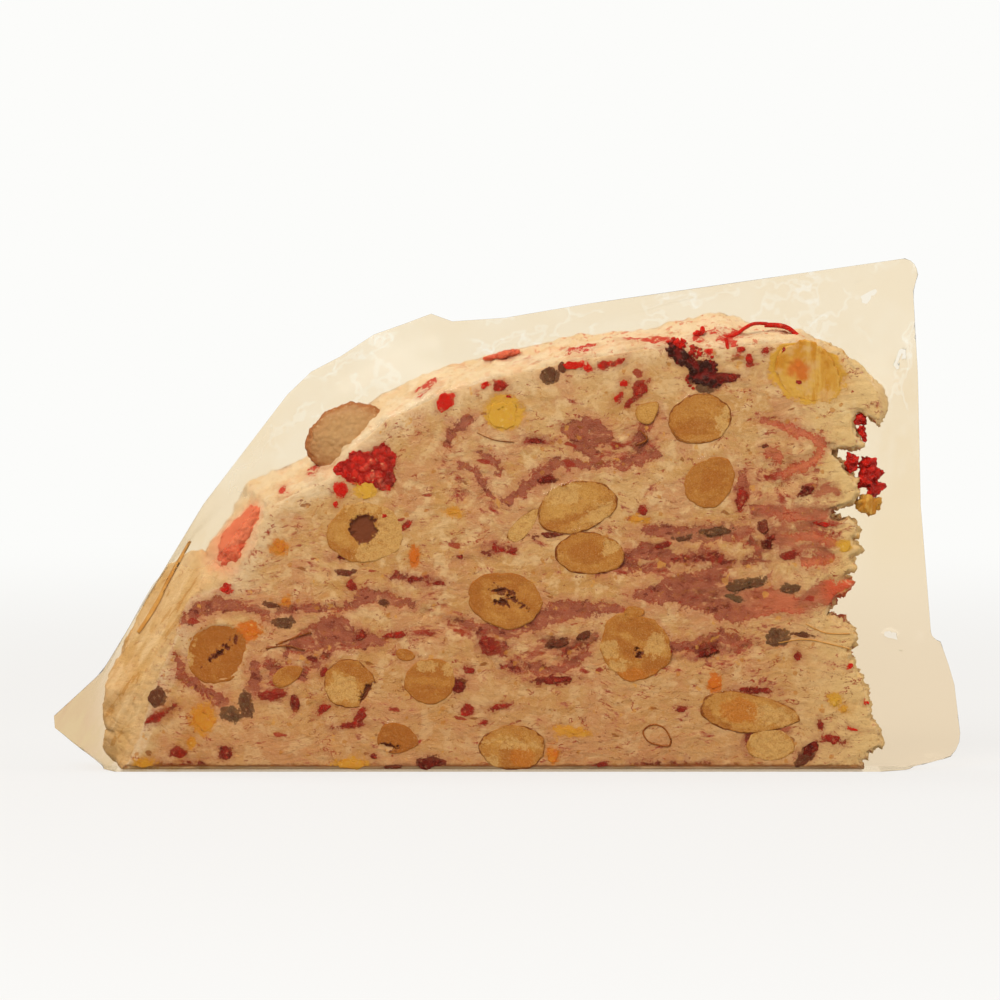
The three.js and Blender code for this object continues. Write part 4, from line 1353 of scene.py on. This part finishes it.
RING = [
    (36.0, 7.2), (34.6, 9.6), (32.2, 10.4), (30.2, 9.0), (31.2, 7.0), (33.4, 6.2), (35.6, 6.0), (36.0, 7.2),
]  # fmt: skip
SKINS = [  # corners (x, z), thickness, how deep, how far its near edge is from the slab's middle
    (RING, 0.34, 1.0, 8.8),
    ([(28.2, 72.6), (30.6, 74.0), (29, 75.8)], 0.3, 1.0, 8.85),
    ([(-6.8, 75.4), (-3, 73.8), (1.4, 73.3)], 0.14, 1.0, 8.85),
    ([(-51.4, 28.4), (-46.4, 30.4), (-43.6, 31.2)], 0.3, 1.0, 8.85),
    ([(-53.6, 27.6), (-49, 28.2), (-45, 27.2)], 0.26, 1.0, 8.85),
]
SIDE_SKINS = [
    ([(-71.3, 51.4), (-74.2, 45.5), (-77.0, 38.7), (-79.4, 34.4), (-82.0, 30.4)], 0.8, 1.0, 2.0),
    ([(60, 28.8), (66, 29.6), (72, 28.4), (76.0, 27.4)], 0.2, 1.0, 8.78),
    ([(66, 33.0), (70.5, 31.0), (75.8, 30.8)], 0.2, 1.0, 8.78),
]


def skin_object(name, strips):
    bm = bmesh.new()
    for corners, thick, deep, near in strips:
        add_ribbon(bm, corners, thick, deep, near)
    return mesh_object(name, bm)


def skin_finish(name, one, other, per_mm, rough):
    """Skin whose colour drifts between two tones, with a crumbly surface."""
    made, tree, shader, _, place = begin(name)
    base = drift(tree, place, per_mm, one, other, 0)
    dress(tree, shader, base, rough, 0.15)
    height = crumb(tree, place, 1.4, 0.2)
    roughen(tree, shader, height, 0.8)
    return made


skins = skin_object("nut_skins", SKINS)
skins.data.materials.append(skin_finish("brown_skin", SKIN, seen(150, 84, 36), 0.5, 0.55))
side_skins = skin_object("side_skin", SIDE_SKINS)
ochre_skin = skin_finish("ochre_skin", seen(190, 128, 58), seen(206, 150, 80), 0.3, 0.6)
side_skins.data.materials.append(ochre_skin)
print("nut skins:", len(SKINS))

# %% [markdown]
# ## Berries
#
# A raspberry is a cluster of little round drupelets, and its crumbs are a few of them that hold
# together. So every berry piece here is made the same way: small balls packed in an ellipsoid, and
# those that the knife met are pressed flat at the cut. A number per drupelet makes some bright and
# some nearly black, as freeze-dried fruit is.

# %% Drupelet clusters
GLOBES = [  # x, y, z, half sizes x y z, drupelets, their radius, how dark (0 bright, 1 black)
    (-36.9, -7.6, 63.0, 1.5, 1.0, 2.2, 40, 0.5, 0.05),
    (-34.8, -7.6, 66.2, 1.2, 0.9, 1.2, 16, 0.45, 0.1),
    (37.4, -7.6, 94.6, 2.4, 1.1, 1.5, 60, 0.42, 0.12),
    (41.2, -7.8, 93.0, 2.0, 1.0, 1.5, 44, 0.42, 0.35),
    (44.8, -7.8, 90.8, 1.6, 0.9, 2.2, 44, 0.42, 0.3),
    (40.2, -7.8, 86.4, 1.6, 0.9, 2.2, 40, 0.42, 0.4),
    (49.4, -7.8, 87.4, 1.6, 0.9, 1.1, 34, 0.4, 0.6),
    (42.6, -2.0, 97.4, 1.1, 1.1, 1.1, 14, 0.45, 0.1),
]
LIMIT = 8.9  # nothing but nuts reaches further out of a cut than this
DARK_SPREAD = 0.16
BEAD = ball_mesh("bead", bmesh.ops.create_icosphere, subdivisions=2)


def add_cluster(bm, shade, globe, rng):
    """Drupelets packed in an ellipsoid, flat where they would pass the cut."""
    x, y, z, half_x, half_y, half_z, count, radius, dark = globe
    placed = []
    for _ in range(count * 14):
        if len(placed) == count:
            break
        way = Vector((rng.uniform(-1, 1), rng.uniform(-1, 1), rng.uniform(-1, 1)))
        if way.length > 1:
            continue
        spot = Vector((x + way.x * half_x, y + way.y * half_y, z + way.z * half_z))
        if all((spot - other).length > radius * 0.8 for other in placed):
            placed.append(spot)
    for spot in placed:
        size = radius * rng.uniform(0.75, 1.3)
        tone = max(0.0, min(1.0, dark + rng.uniform(-DARK_SPREAD, DARK_SPREAD)))
        squash = rng.uniform(0.75, 1.2)
        for vert in copied(bm, BEAD):
            out = vert.co * size
            vert.co = spot + Vector((out.x * squash, out.y, out.z / squash))
            vert.co += 0.25 * size * noise.noise_vector(vert.co * 1.4)
            vert.co.y = max(-LIMIT, min(LIMIT, vert.co.y))
            vert[shade] = tone


def berry_object():
    rng = random.Random(SEED)
    bm = bmesh.new()
    shade = bm.verts.layers.float.new("dark")
    for globe in GLOBES:
        add_cluster(bm, shade, globe, rng)
    return mesh_object("raspberry_drupelets", bm)


berries = berry_object()
print("drupelets:", len(berries.data.polygons), "faces in", len(GLOBES), "clusters")

# %% [markdown]
# ## Chips and bits
#
# Small broken pieces are scattered through the paste: red and wine-dark berry chips, brown-grey
# dark bits, and yellow and orange candied fruit. A chip breaks with flat sides, so each is a ball
# drawn in to a few random planes, as if sliced, and then flattened to its size.

# %% Chip maker
COARSE_BALL = ball_mesh("coarse_ball", bmesh.ops.create_icosphere, subdivisions=3)
FINE_BALL = ball_mesh("fine_ball", bmesh.ops.create_icosphere, subdivisions=4)
SHOWN = 0.85  # how much of a chip's size is one firm piece; the rest is crumbs


def add_chip(bm, shade, x, z, half, height, turn, tone, rng, side=-1, proud=0.03):
    """One broken chip, cut flat by the knife, with uneven edges."""
    half, height = half * SHOWN, height * SHOWN
    deep = 0.5 * min(half, height) + 0.5
    tear = min(0.45, 0.3 * min(half, height) + 0.12)
    shift = Vector((x, z, 9 * tone))
    slices = []
    for _ in range(5):
        way = Vector((rng.gauss(0, 1), rng.gauss(0, 0.3), rng.gauss(0, 1))).normalized()
        slices.append((way, rng.uniform(0.6, 1.0)))
    for vert in copied(bm, FINE_BALL if half > 1.2 else COARSE_BALL):
        way = vert.co.normalized()
        reach = min(1.2, *(far / max(0.05, way.dot(normal)) for normal, far in slices))
        px, pz = way.x * reach * half, way.z * reach * height
        spot = Vector((px, pz, 0.0)) * 0.7
        px += tear * noise.fractal(spot + shift, 0.6, 2.1, 3)
        pz += tear * noise.fractal(spot - shift, 0.6, 2.1, 3)
        flat = abs(FRONT) + proud + 0.04 * noise.noise(spot)
        toward = 1 if way.y * side > 0 else -1
        out = abs(FRONT) + proud + deep * (abs(way.y) * toward * reach - 0.3)
        dx, dz = turned(px, pz, turn)
        vert.co = (x + dx, side * min(LIMIT, flat, out), z + dz)
        vert[shade] = tone


def chip_object(name, label, chips):
    """Every chip of one kind, in both cuts."""
    rng = random.Random(SEED + len(name))
    bm = bmesh.new()
    shade = bm.verts.layers.float.new(label)
    for side, listed in ((-1, chips[0]), (1, chips[1])):
        for chip in listed:
            add_chip(bm, shade, *chip, rng, side=side)
    bmesh.ops.recalc_face_normals(bm, faces=bm.faces)
    made = mesh_object(name, bm)
    print(name, "has", len(made.data.polygons), "faces")
    return made


red_chips = chip_object("berry_chips", "dark", (RED_CHIPS, BACK_RED))
dark_chips = chip_object("dark_fruit_bits", "dark", (DARK_CHIPS, BACK_DARK))
candied = chip_object("candied_bits", "orange", (CANDIED, BACK_CANDIED))

# %% [markdown]
# Berry flesh is bright where it is thin and nearly black where juice dried in it. The dark bits are
# a dull brown with a grey bloom. Candied fruit is clear yellow to orange and a little wet.

# %% Fruit finishes
def toned_finish(name, label, tones, rough, depth, waver, fleck=None, veiled=0.0):
    """A finish that runs through three tones by a number the mesh carries, stirred by noise."""
    made, tree, shader, _, place = begin(name)
    base = three_tones(tree, place, attribute(tree, label), tones, waver)
    if fleck:
        spots = flecks(tree, place, 1.1, 0.3, 0.3)
        base = laid_over(tree, base, spots, 0.5, fleck)
    if veiled:
        veil = ramp(tree, cloudy(tree, place, 0.8, 6.0, 0.7), 0.56, 0.62, 0, veiled)
        base = blend_colour(tree, veil, base, ROSE)
    dress(tree, shader, base, rough, 0.06)
    height = crumb(tree, place, 1.3, depth)
    roughen(tree, shader, height, 0.7)
    return made


berry_red = toned_finish("berry_red", "dark", BERRY, 0.42, 0.3, 1.3, seen(216, 104, 72))
berries.data.materials.append(berry_red)
berry_chip = toned_finish("berry_chip", "dark", BERRY, 0.55, 0.16, 1.3, seen(186, 70, 46), 0.4)
red_chips.data.materials.append(berry_chip)
dark_chips.data.materials.append(toned_finish("dark_fruit", "dark", DARK_FRUIT, 0.6, 0.16, 1.3, None, 0.4))
sugared = toned_finish("candied", "orange", CANDY, 0.5, 0.12, 1.2, seen(220, 180, 104), 0.3)
candied.data.materials.append(sugared)

# %% [markdown]
# ## Larger fruit, the loose nut and the curls
#
# A lump of candied fruit fills the top right of the cut, with upright fibres. A whole nut lies on
# the dome's shoulder, a slice of strawberry lies on its slope, and a strip of red skin curls over
# the top. They are balls pushed into shape, larger and with more points than the chips.

# %% Lumps
FINEST_BALL = ball_mesh("finest_ball", bmesh.ops.create_icosphere, subdivisions=6)
LARGE = 3.25  # millimetres: smaller lumps need fewer points


def add_lump(
    bm, shade, middle, halves, turn, tone, seed, bumps=0.12, per_mm=0.22, flat=None, pinch=0.0, knobs=0.0
):
    """A ball stretched to its half sizes, turned in the cut's plane, and dented by noise."""
    shift = Vector((seed * 3.7, seed * 1.9, seed * 8.3))
    for vert in copied(bm, FINEST_BALL if max(halves) > LARGE else FINE_BALL):
        way = vert.co.copy()
        narrow = 1 - pinch * way.x
        px, py, pz = way.x * halves[0], way.y * halves[1] * narrow, way.z * halves[2] * narrow
        swell = 1 + bumps * noise.fractal(Vector((px, py, pz)) * per_mm + shift, 0.6, 2.0, 5)
        px, py, pz = px * swell, py * swell, pz * swell
        dx, dz = turned(px, pz, turn)
        spot = Vector((middle[0] + dx, middle[1] + py, middle[2] + dz))
        if knobs:
            spot += way * knobs * (0.5 - min(1.0, noise.voronoi(spot * 0.9)[0][0]))
        if flat is not None:
            dents = 0.25 * knobs * min(1.0, noise.voronoi(Vector((spot.x, 0, spot.z)) * 0.7)[0][0])
            deepest = abs(flat) + 0.08 * noise.noise(spot * 1.2) - dents
            spot.y = math.copysign(min(deepest, abs(spot.y)), spot.y)
        vert.co = spot
        vert[shade] = math.hypot(way.x, way.z) ** 3 if tone is None else tone


def lumps_object(name, label, lumps):
    bm = bmesh.new()
    shade = bm.verts.layers.float.new(label)
    for seed, (middle, halves, turn, tone, extra) in enumerate(lumps):
        add_lump(bm, shade, middle, halves, turn, tone, seed, **extra)
    return mesh_object(name, bm)


def by_knife(bumps, per_mm, flat, knobs):
    """What a knobbly lump is like that the knife has cut flat at a depth."""
    return {"bumps": bumps, "per_mm": per_mm, "flat": flat, "knobs": knobs}


CANDIED_LUMPS = [
    ((66.0, -8.0, 89.0), (7.8, 3.0, 6.3), -22, 0.35, {"bumps": 0.22, "per_mm": 0.09, "flat": -8.66}),
    ((-52, 5.6, 52), (5.2, 3.0, 4.6), 12, 0.2, {"bumps": 0.2}),
    ((80.2, -5.2, 59.4), (2.6, 1.6, 1.9), 0, 0.05, {"bumps": 0.7, "per_mm": 0.4, "knobs": 0.5}),
]
FRUIT_LUMPS = [  # the raspberry in the cut, the black berry and its arms
    ((-31.6, -8.1, 67.4), (5.6, 2.2, 3.7), 12, 0.02, by_knife(0.3, 0.3, -8.8, 0.7)),
    ((-27.9, -8.1, 69.2), (2.9, 2.0, 3.3), 10, 0.22, by_knife(0.3, 0.3, -8.8, 0.6)),
    ((-27.6, -8.1, 65.4), (3.0, 2.0, 2.6), -30, 0.42, by_knife(0.3, 0.3, -8.78, 0.6)),
    ((43.0, -8.1, 88.4), (3.3, 2.0, 3.0), 20, 1.0, by_knife(0.45, 0.3, -8.84, 0.6)),
    ((38.6, -8.1, 91.8), (4.4, 1.8, 1.5), -34, 0.95, by_knife(0.5, 0.35, -8.84, 0.5)),
    ((45.6, -8.1, 86.6), (1.8, 1.8, 2.0), 0, 1.0, by_knife(0.5, 0.35, -8.82, 0.5)),
    ((48.0, -8.1, 87.6), (3.0, 1.6, 1.0), -6, 0.75, by_knife(0.5, 0.4, -8.82, 0.4)),
]
RAGGED_BERRY = {"bumps": 0.7, "per_mm": 0.45, "knobs": 0.5}
FRUIT_LUMPS += [  # scraps that hang out of the torn end, and berries that only the back shows
    ((76.4, -6.6, 68.4), (1.4, 1.6, 1.8), 20, -0.35, RAGGED_BERRY),
    ((79.8, -5.4, 68.2), (2.2, 1.6, 1.7), -20, -0.35, RAGGED_BERRY),
    ((80.6, -5.2, 66.2), (2.0, 1.6, 1.7), 0, -0.35, RAGGED_BERRY),
    ((79.0, -5.4, 64.6), (2.0, 1.6, 1.3), 30, -0.35, RAGGED_BERRY),
    ((81.4, -5.0, 62.8), (1.8, 1.6, 1.9), -30, -0.35, RAGGED_BERRY),
    ((78.0, -6.6, 78.4), (1.5, 1.4, 1.6), 10, -0.35, RAGGED_BERRY),
    ((78.6, -6.6, 75.2), (0.7, 1.0, 1.8), 14, -0.35, RAGGED_BERRY),
    ((75.4, 1.0, 49.0), (1.4, 3.2, 1.4), 0, 0.3, RAGGED_BERRY),
    ((75.8, 4.6, 24.0), (1.2, 2.2, 1.6), 0, 0.6, RAGGED_BERRY),
    ((74.8, -2.4, 31.0), (1.2, 1.8, 1.0), 0, 0.5, RAGGED_BERRY),
    ((82.0, 2.6, 82.0), (2.0, 2.0, 1.4), 0, 0.4, RAGGED_BERRY),
    ((30.2, 8.0, 70.0), (5.4, 2.0, 4.6), 12, 0.1, by_knife(0.35, 0.25, 8.76, 0.6)),
    ((-44, 8.0, 44.0), (4.4, 2.0, 3.4), -20, 0.6, by_knife(0.35, 0.25, 8.76, 0.6)),
    ((60.0, 8.0, 50.0), (3.4, 1.8, 2.6), 30, 0.9, by_knife(0.35, 0.3, 8.76, 0.6)),
    ((-2.0, 8.0, 84.0), (3.6, 1.8, 2.2), 0, 0.2, by_knife(0.35, 0.3, 8.76, 0.6)),
]
STRAWBERRY = [
    ((-59.0, -3.6, 52.4), (7.8, 3.6, 3.4), 62, 0.05, {"bumps": 0.3, "per_mm": 0.16, "pinch": 0.3}),
    ((-60.8, -4.2, 47.8), (4.8, 3.2, 3.6), 50, 0.3, {"bumps": 0.3, "per_mm": 0.2, "pinch": -0.2}),
    ((-59.8, -5.6, 43.6), (2.6, 1.8, 1.0), 62, 0.5, {"bumps": 0.25}),
    ((-1.2, 3.6, 92.0), (3.6, 2.0, 0.8), 13, 0.3, {"bumps": 0.4, "per_mm": 0.5}),
]
LOOSE_NUTS = [
    ((-35.7, -1.8, 74.2), (9.6, 3.4, 7.0), 30, None, {"bumps": 0.1, "per_mm": 0.12, "knobs": 0.5}),
]

chunks = lumps_object("candied_fruit", "orange", CANDIED_LUMPS)
fruit = lumps_object("berry_flesh", "dark", FRUIT_LUMPS)
strawberry = lumps_object("strawberry_slices", "dark", STRAWBERRY)
loose = lumps_object("loose_nut", "tone", LOOSE_NUTS)


def fibrous_finish():
    """Candied fruit: clear ochre with upright fibres and an orange heart."""
    made, tree, shader, _, place = begin("candied_fibres")
    upright = put(tree, "Mapping", {"Vector": place, "Scale": (1.2, 1.2, 0.12)}).outputs[0]
    fibre = cloudy(tree, upright, 0.8, 5.0, 0.5)
    base = drift(tree, place, 0.2, seen(208, 158, 72), seen(192, 128, 42), 0.0)
    to_the_right = ramp(tree, axes(tree, place)["X"], 62, 68)
    base = laid_over(tree, base, ramp(tree, fibre, 0.44, 0.6, 0, 0.7), to_the_right, seen(214, 168, 86))
    patches = cloudy(tree, place, 0.26, 6.0, 0.66)
    base = laid_where(tree, base, patches, 0.5, 0.62, 0.65, seen(208, 162, 106))
    base = laid_where(tree, base, patches, 0.42, 0.36, 0.6, seen(182, 116, 36))
    heart = away_from(tree, place, (64.6, -8.8, 89.2))
    heart = maths(tree, "ADD", heart, swing(tree, cloudy(tree, place, 0.5, 4.0, 0.5), 4.0))
    base = laid_where(tree, base, heart, 3.2, 1.2, 0.9, seen(196, 100, 36))
    dress(tree, shader, base, 0.5, 0.12)
    roughen(tree, shader, times(tree, fibre, 0.35), 0.8)
    return made


def drupelet_finish():
    """Raspberry: painted shade between its drupelets, painted highlights on them, pale seeds, darker by its
    tone.
    """
    made, tree, shader, _, place = begin("raspberry")
    tone = attribute(tree, "dark")
    base = three_tones(tree, place, tone, BERRY, 1.4)
    base = laid_where(tree, base, tone, 0.7, 1.0, 0.85, seen(46, 12, 6))
    slow = put(tree, "TexNoise", {"Vector": place, "Scale": 0.7, "Detail": 3.0}).outputs["Color"]
    bent = moved_by(tree, place, slow, 1.6)
    cells = put(tree, "TexVoronoi", {"Vector": bent, "Scale": 0.62}).outputs["Distance"]
    heart = away_from(tree, place, (-29.6, -8.8, 65.4))
    # painted highlight on the middle of each drupelet near the heart, and painted shade between the
    # drupelets
    painted_highlight = times(tree, ramp(tree, cells, 0.6, 0.15), ramp(tree, heart, 5.4, 2.0))
    base = laid_over(tree, base, painted_highlight, 0.8, seen(196, 88, 66))
    base = laid_where(tree, base, cells, 0.46, 0.66, 0.6, seen(124, 18, 14))
    seeds = flecks(tree, place, 0.8, 0.5, 0.3)
    seeds = times(tree, seeds, ramp(tree, heart, 6.0, 3.0))
    base = laid_over(tree, base, seeds, 0.75, seen(226, 144, 104))
    dress(tree, shader, base, 0.4, 0.12)
    roughen(tree, shader, times(tree, cells, -0.7), 1.0)
    return made


chunks.data.materials.append(fibrous_finish())
fruit.data.materials.append(drupelet_finish())
slices = (seen(216, 116, 84), seen(200, 78, 54), seen(178, 52, 38))
strawberry.data.materials.append(toned_finish("strawberry", "dark", slices, 0.5, 0.2, 1.4))
shell = (seen(190, 146, 100), seen(182, 134, 90), seen(162, 98, 56))
dusty = seen(208, 168, 124)
loose.data.materials.append(toned_finish("loose_nut_skin", "tone", shell, 0.7, 0.4, 1.0, dusty))

# %% Red skin curl on the dome's top
CURLS = [  # corners (x, z), thickness, depth of the strip, how far its near edge is from the middle
    ([(48.0, 96.6), (50.4, 97.2), (52.4, 98.6), (54.6, 99.6), (57.6, 99.6)], 0.7, 1.2, 2.6),
    ([(57.0, 99.4), (60.3, 99.3), (62.6, 98.6), (64.6, 97.0)], 1.0, 2.0, 0.4),
    ([(48.6, 96.4), (48.9, 94.4), (49.4, 92.8)], 0.7, 1.6, 8.2),
]


def curl_object():
    bm = bmesh.new()
    shade = bm.verts.layers.float.new("dark")
    for corners, thick, deep, near in CURLS:
        add_ribbon(bm, corners, thick, deep, near, lean=0.12)
    for vert in bm.verts:
        vert[shade] = 0.1 + 0.3 * abs(noise.noise(vert.co * 0.8))
    return mesh_object("red_skin_curls", bm)


curls = curl_object()
curls.data.materials.append(berry_red)

# %% [markdown]
# ## The film bag
#
# The bag is one sheet of clear film folded round the slab and sealed. It has the solid's own
# surface, so a copy of that is what it starts from: its loose triangles are merged and cut finer,
# the slack film between the cuts and the folds gets small wrinkles, and it is given its own
# thickness inwards.

# %% Film sheet
FILM_THICK = 0.035
LONGEST_EDGE = 2.3
WRINKLE = 0.22
FOLD_ANGLE = math.radians(40)  # the film is creased sharp where it turns by more than this
CRUMPLED = math.radians(70)
FOLDED_OVER = math.radians(115)
FOOT = 0.6  # the film stays as it is below this height
TOP_FOLD = (-1.1, 2.7)  # the folded edge lies between these depths
SLACK_REACH = 8.75  # the film is slack up to this depth, and lies flat on the cuts beyond it
CRUMPLE_REACH = 8.7
MEND_REACH = 9.2
RIM_DEPTH = 7.4


def relax(bm, verts, rounds):
    for _ in range(rounds):
        bmesh.ops.smooth_vert(
            bm, verts=verts, factor=0.5, use_axis_x=True, use_axis_y=True, use_axis_z=True
        )
    bm.normal_update()


def crumpled(bm):
    """Loose points where triangles have folded over each other, and those next to them."""
    sharp = [e for e in bm.edges if e.calc_face_angle(0.0) > CRUMPLED]
    found = {v for e in sharp for v in e.verts}
    found |= {e.other_vert(v) for v in found for e in v.link_edges}
    return [v for v in found if abs(v.co.y) < CRUMPLE_REACH and v.co.z > FOOT]


def apart(bm):
    """The faces that don't join on to the sheet's main part."""
    joined = {max(bm.faces, key=lambda f: f.calc_area())}
    found = list(joined)
    while found:
        beside = {f for e in found.pop().edges for f in e.link_faces} - joined
        joined |= beside
        found += beside
    return [f for f in bm.faces if f not in joined]


def mended(bm, verts):
    """The sheet without these points, and each hole that they leave closed again."""
    bmesh.ops.delete(bm, geom=verts, context="VERTS")
    for _ in range(4):
        spare = [f for e in bm.edges if len(e.link_faces) > 2 for f in e.link_faces]
        bmesh.ops.delete(bm, geom=list(set(spare)), context="FACES")
        bmesh.ops.delete(bm, geom=apart(bm), context="FACES")
        bmesh.ops.delete(bm, geom=[e for e in bm.edges if e.is_wire], context="EDGES")
        bmesh.ops.holes_fill(bm, edges=[e for e in bm.edges if e.is_boundary], sides=0)
        bmesh.ops.triangulate(bm, faces=[f for f in bm.faces if len(f.verts) > 3])
    bm.normal_update()


def film_sheet():
    """The solid's surface, cut finer, relaxed and wrinkled where it is slack."""
    bm = bmesh.new()
    bm.from_mesh(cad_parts[NODE].data)
    bmesh.ops.scale(bm, vec=(1 / MM, 1 / MM, 1 / MM), verts=bm.verts)
    bmesh.ops.remove_doubles(bm, verts=bm.verts, dist=0.05)
    bmesh.ops.dissolve_degenerate(bm, edges=bm.edges, dist=0.05)
    for _ in range(5):
        long = [e for e in bm.edges if e.calc_length() > LONGEST_EDGE]
        if not long:
            break
        bmesh.ops.subdivide_edges(bm, edges=long, cuts=1)
        bmesh.ops.triangulate(bm, faces=[f for f in bm.faces if len(f.verts) > 3])
    bm.normal_update()
    lifted = [v for v in bm.verts if v.co.z > FOOT]
    outline = {v for v in lifted if TOP_FOLD[0] < v.co.y < TOP_FOLD[1] and abs(v.normal.y) < 0.75}
    relax(bm, [v for v in lifted if abs(v.co.y) < SLACK_REACH and v not in outline], 10)
    before = len(crumpled(bm))
    for _ in range(12):
        relax(bm, crumpled(bm), 2)
    print("film: crumpled points before and after:", before, len(crumpled(bm)))
    flipped = {v for e in bm.edges if e.calc_face_angle(0.0) > FOLDED_OVER for v in e.verts}
    flipped = [v for v in flipped if abs(v.co.y) < MEND_REACH and v.co.z > FOOT]
    mended(bm, flipped)
    print("film: points taken out where it had folded over:", len(flipped))
    rim = {v for v in outline if v.is_valid}
    for _ in range(2):
        rim |= {e.other_vert(v) for v in rim for e in v.link_edges}
    lifted = [v for v in bm.verts if v.co.z > FOOT]
    rim |= {v for v in lifted if abs(v.co.y) > RIM_DEPTH and abs(v.normal.y) < 0.97}
    slack = bm.verts.layers.float.new("slack")
    edge = bm.verts.layers.float.new("edge")
    for vert in bm.verts:
        x, y, z = vert.co
        free = float(smoothstep(8.9, 6.0, abs(y))) * float(smoothstep(0.2, 2.0, z))
        vert[slack] = free
        vert[edge] = 1.0 if vert in rim else 0.0
        folds = noise.ridged_multi_fractal(Vector((x * 0.05, y * 0.02, z * 0.07)), 0.9, 2.1, 3, 1.0, 2.0)
        thin = float(smoothstep(1.9, 4.5, abs(y - 0.8)))
        vert.co -= vert.normal * WRINKLE * free * thin * min(1.5, folds)
    for joint in bm.edges:
        joint.smooth = joint.calc_face_angle(0.0) < FOLD_ANGLE
    return bm


film = mesh_object("film_bag", film_sheet())
film_points = [v.co for v in film.data.vertices]
film_skin = BVHTree.FromPolygons(film_points, [p.vertices for p in film.data.polygons])
wall = film.modifiers.new("film thickness", "SOLIDIFY")
wall.thickness = FILM_THICK * MM
wall.offset = -1
print("film:", len(film.data.polygons), "faces before it has its thickness")

# %% [markdown]
# Clear film takes little from the light, but what it takes is blue, so white turns cream through
# it. Where it lies on the nougat it is clear, and where it hangs free it is slightly milky, which
# blurs what is further behind. Rays from the lamps pass it as tinted light, so that what is inside
# is lit evenly.

# %% Film finish
FILM_TOP = (*FILM_PASS, 1.0)
FILM_LOW = (0.952, 0.872, 0.748, 1.0)
FILM_EAR = (0.885, 0.75, 0.585, 1.0)
FILM_FOLD_SHADE = (0.9, 0.79, 0.61, 1.0)


def film_finish():
    """A clear, cream film: refracting on its faces, plainly see-through on its folded edge."""
    made, tree, shader, output, place = begin("clear_film")
    spot = axes(tree, place)
    # painted shade: the film is tinted deeper low down, which darkens the lower part of the cut behind it
    tint = blend_colour(tree, ramp(tree, spot["Z"], 80, 15), FILM_TOP, FILM_LOW)
    ear = times(tree, ramp(tree, spot["X"], -84, -97), ramp(tree, spot["Z"], 40, 20))
    tint = blend_colour(tree, ear, tint, FILM_EAR)
    warm = maths(tree, "MAXIMUM", ramp(tree, spot["X"], 74, 84), ramp(tree, spot["X"], -42, -62))
    warm = times(tree, warm, ramp(tree, spot["Z"], 96, 84))
    tint = laid_over(tree, tint, warm, ramp(tree, spot["Z"], 34, 56), (0.942, 0.858, 0.718, 1.0))
    uneven = ramp(tree, cloudy(tree, place, 0.07, 6.0, 0.62), 0.42, 0.6, 0, 0.4)
    tint = laid_over(tree, tint, uneven, ramp(tree, spot["Z"], 50, 70), (0.968, 0.915, 0.815, 1.0))
    # painted highlights: thin paler streaks in the film's upper part
    streaks = times(tree, thin_lines(tree, place, 0.045, 0.02, 40.0, 0.44), 0.7)
    tint = laid_over(tree, tint, streaks, ramp(tree, spot["Z"], 66, 80), (0.985, 0.955, 0.89, 1.0))
    # painted shade of the film's folds on the left slope: a darker tint drawn out along the slope
    side = times(tree, ramp(tree, spot["X"], -62, -74), ramp(tree, spot["Z"], 64, 50))
    tint = laid_over(tree, tint, ramp(tree, creased(tree, place, 0.3), 0.48, 0.6), side, FILM_FOLD_SHADE)
    tree.links.new(tint, shader.inputs["Base Color"])
    patchy = cloudy(tree, place, 0.05, 4.0, 0.5)
    rough = maths(tree, "MULTIPLY_ADD", attribute(tree, "slack"), 0.06, 0.07)
    rough = maths(tree, "ADD", rough, ramp(tree, patchy, 0.4, 0.7, 0, 0.03))
    hazy = times(tree, ramp(tree, spot["X"], -36, -58), ramp(tree, spot["Z"], 30, 50))
    rough = maths(tree, "MULTIPLY_ADD", hazy, 0.14, rough)
    tree.links.new(rough, shader.inputs["Roughness"])
    shader.inputs["Transmission Weight"].default_value = 1.0
    shader.inputs["IOR"].default_value = 1.1
    roughen(tree, shader, times(tree, cloudy(tree, place, 0.25, 5.0, 0.5), 0.2), 0.3)
    path = put(tree, "LightPath").outputs
    through = maths(tree, "MAXIMUM", path["Is Shadow Ray"], path["Is Diffuse Ray"])
    through = maths(tree, "MAXIMUM", through, attribute(tree, "edge"))
    half_tint = put(tree, "Gamma", {"Color": tint, "Gamma": 0.5}).outputs[0]
    clear = put(tree, "BsdfTransparent", {"Color": half_tint})
    both = put(tree, "MixShader", {0: through, 1: shader.outputs[0], 2: clear.outputs[0]})
    tree.links.new(both.outputs[0], output.inputs["Surface"])
    return made


film.data.materials.append(film_finish())
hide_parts(NODE)

# %% [markdown]
# The bag is pulled tight, so nothing inside may pass its film. Every point that would is moved to
# lie just under it, which also flattens the loose nut a little, as the film does.


# %% Everything kept under the film
UNDER_FILM = 0.09


def kept_under(piece, gap):
    """Moves a piece's points that pass the film to lie just inside it, and counts them."""
    moved = 0
    for vert in piece.data.vertices:
        near, normal, _, _ = film_skin.find_nearest(vert.co)
        if (vert.co - near).dot(normal) > -gap * MM and vert.co.z > 2 * gap * MM:
            vert.co = near - normal * gap * MM
            moved += 1
    piece.data.update()
    return moved


for piece in (
    slab, hazelnuts, almonds, walnut, skins, side_skins, berries, red_chips, dark_chips, candied,
    chunks, fruit, strawberry, loose, curls,
):  # fmt: skip
    moved = kept_under(piece, 0.32 if piece is slab else UNDER_FILM)
    print(piece.name, "points moved under the film:", moved, "of", len(piece.data.vertices))
for vert in side_skins.data.vertices:  # the ochre strip is pressed flat between film and nougat
    start = Vector((vert.co.x, -0.05, vert.co.z))
    hit, _, _, _ = film_skin.ray_cast(start, Vector((0, 1, 0)))
    if hit and vert.co.x < 0:
        vert.co.y = hit.y + (0.1 + 0.06 * (vert.co.y / MM + 2)) * MM
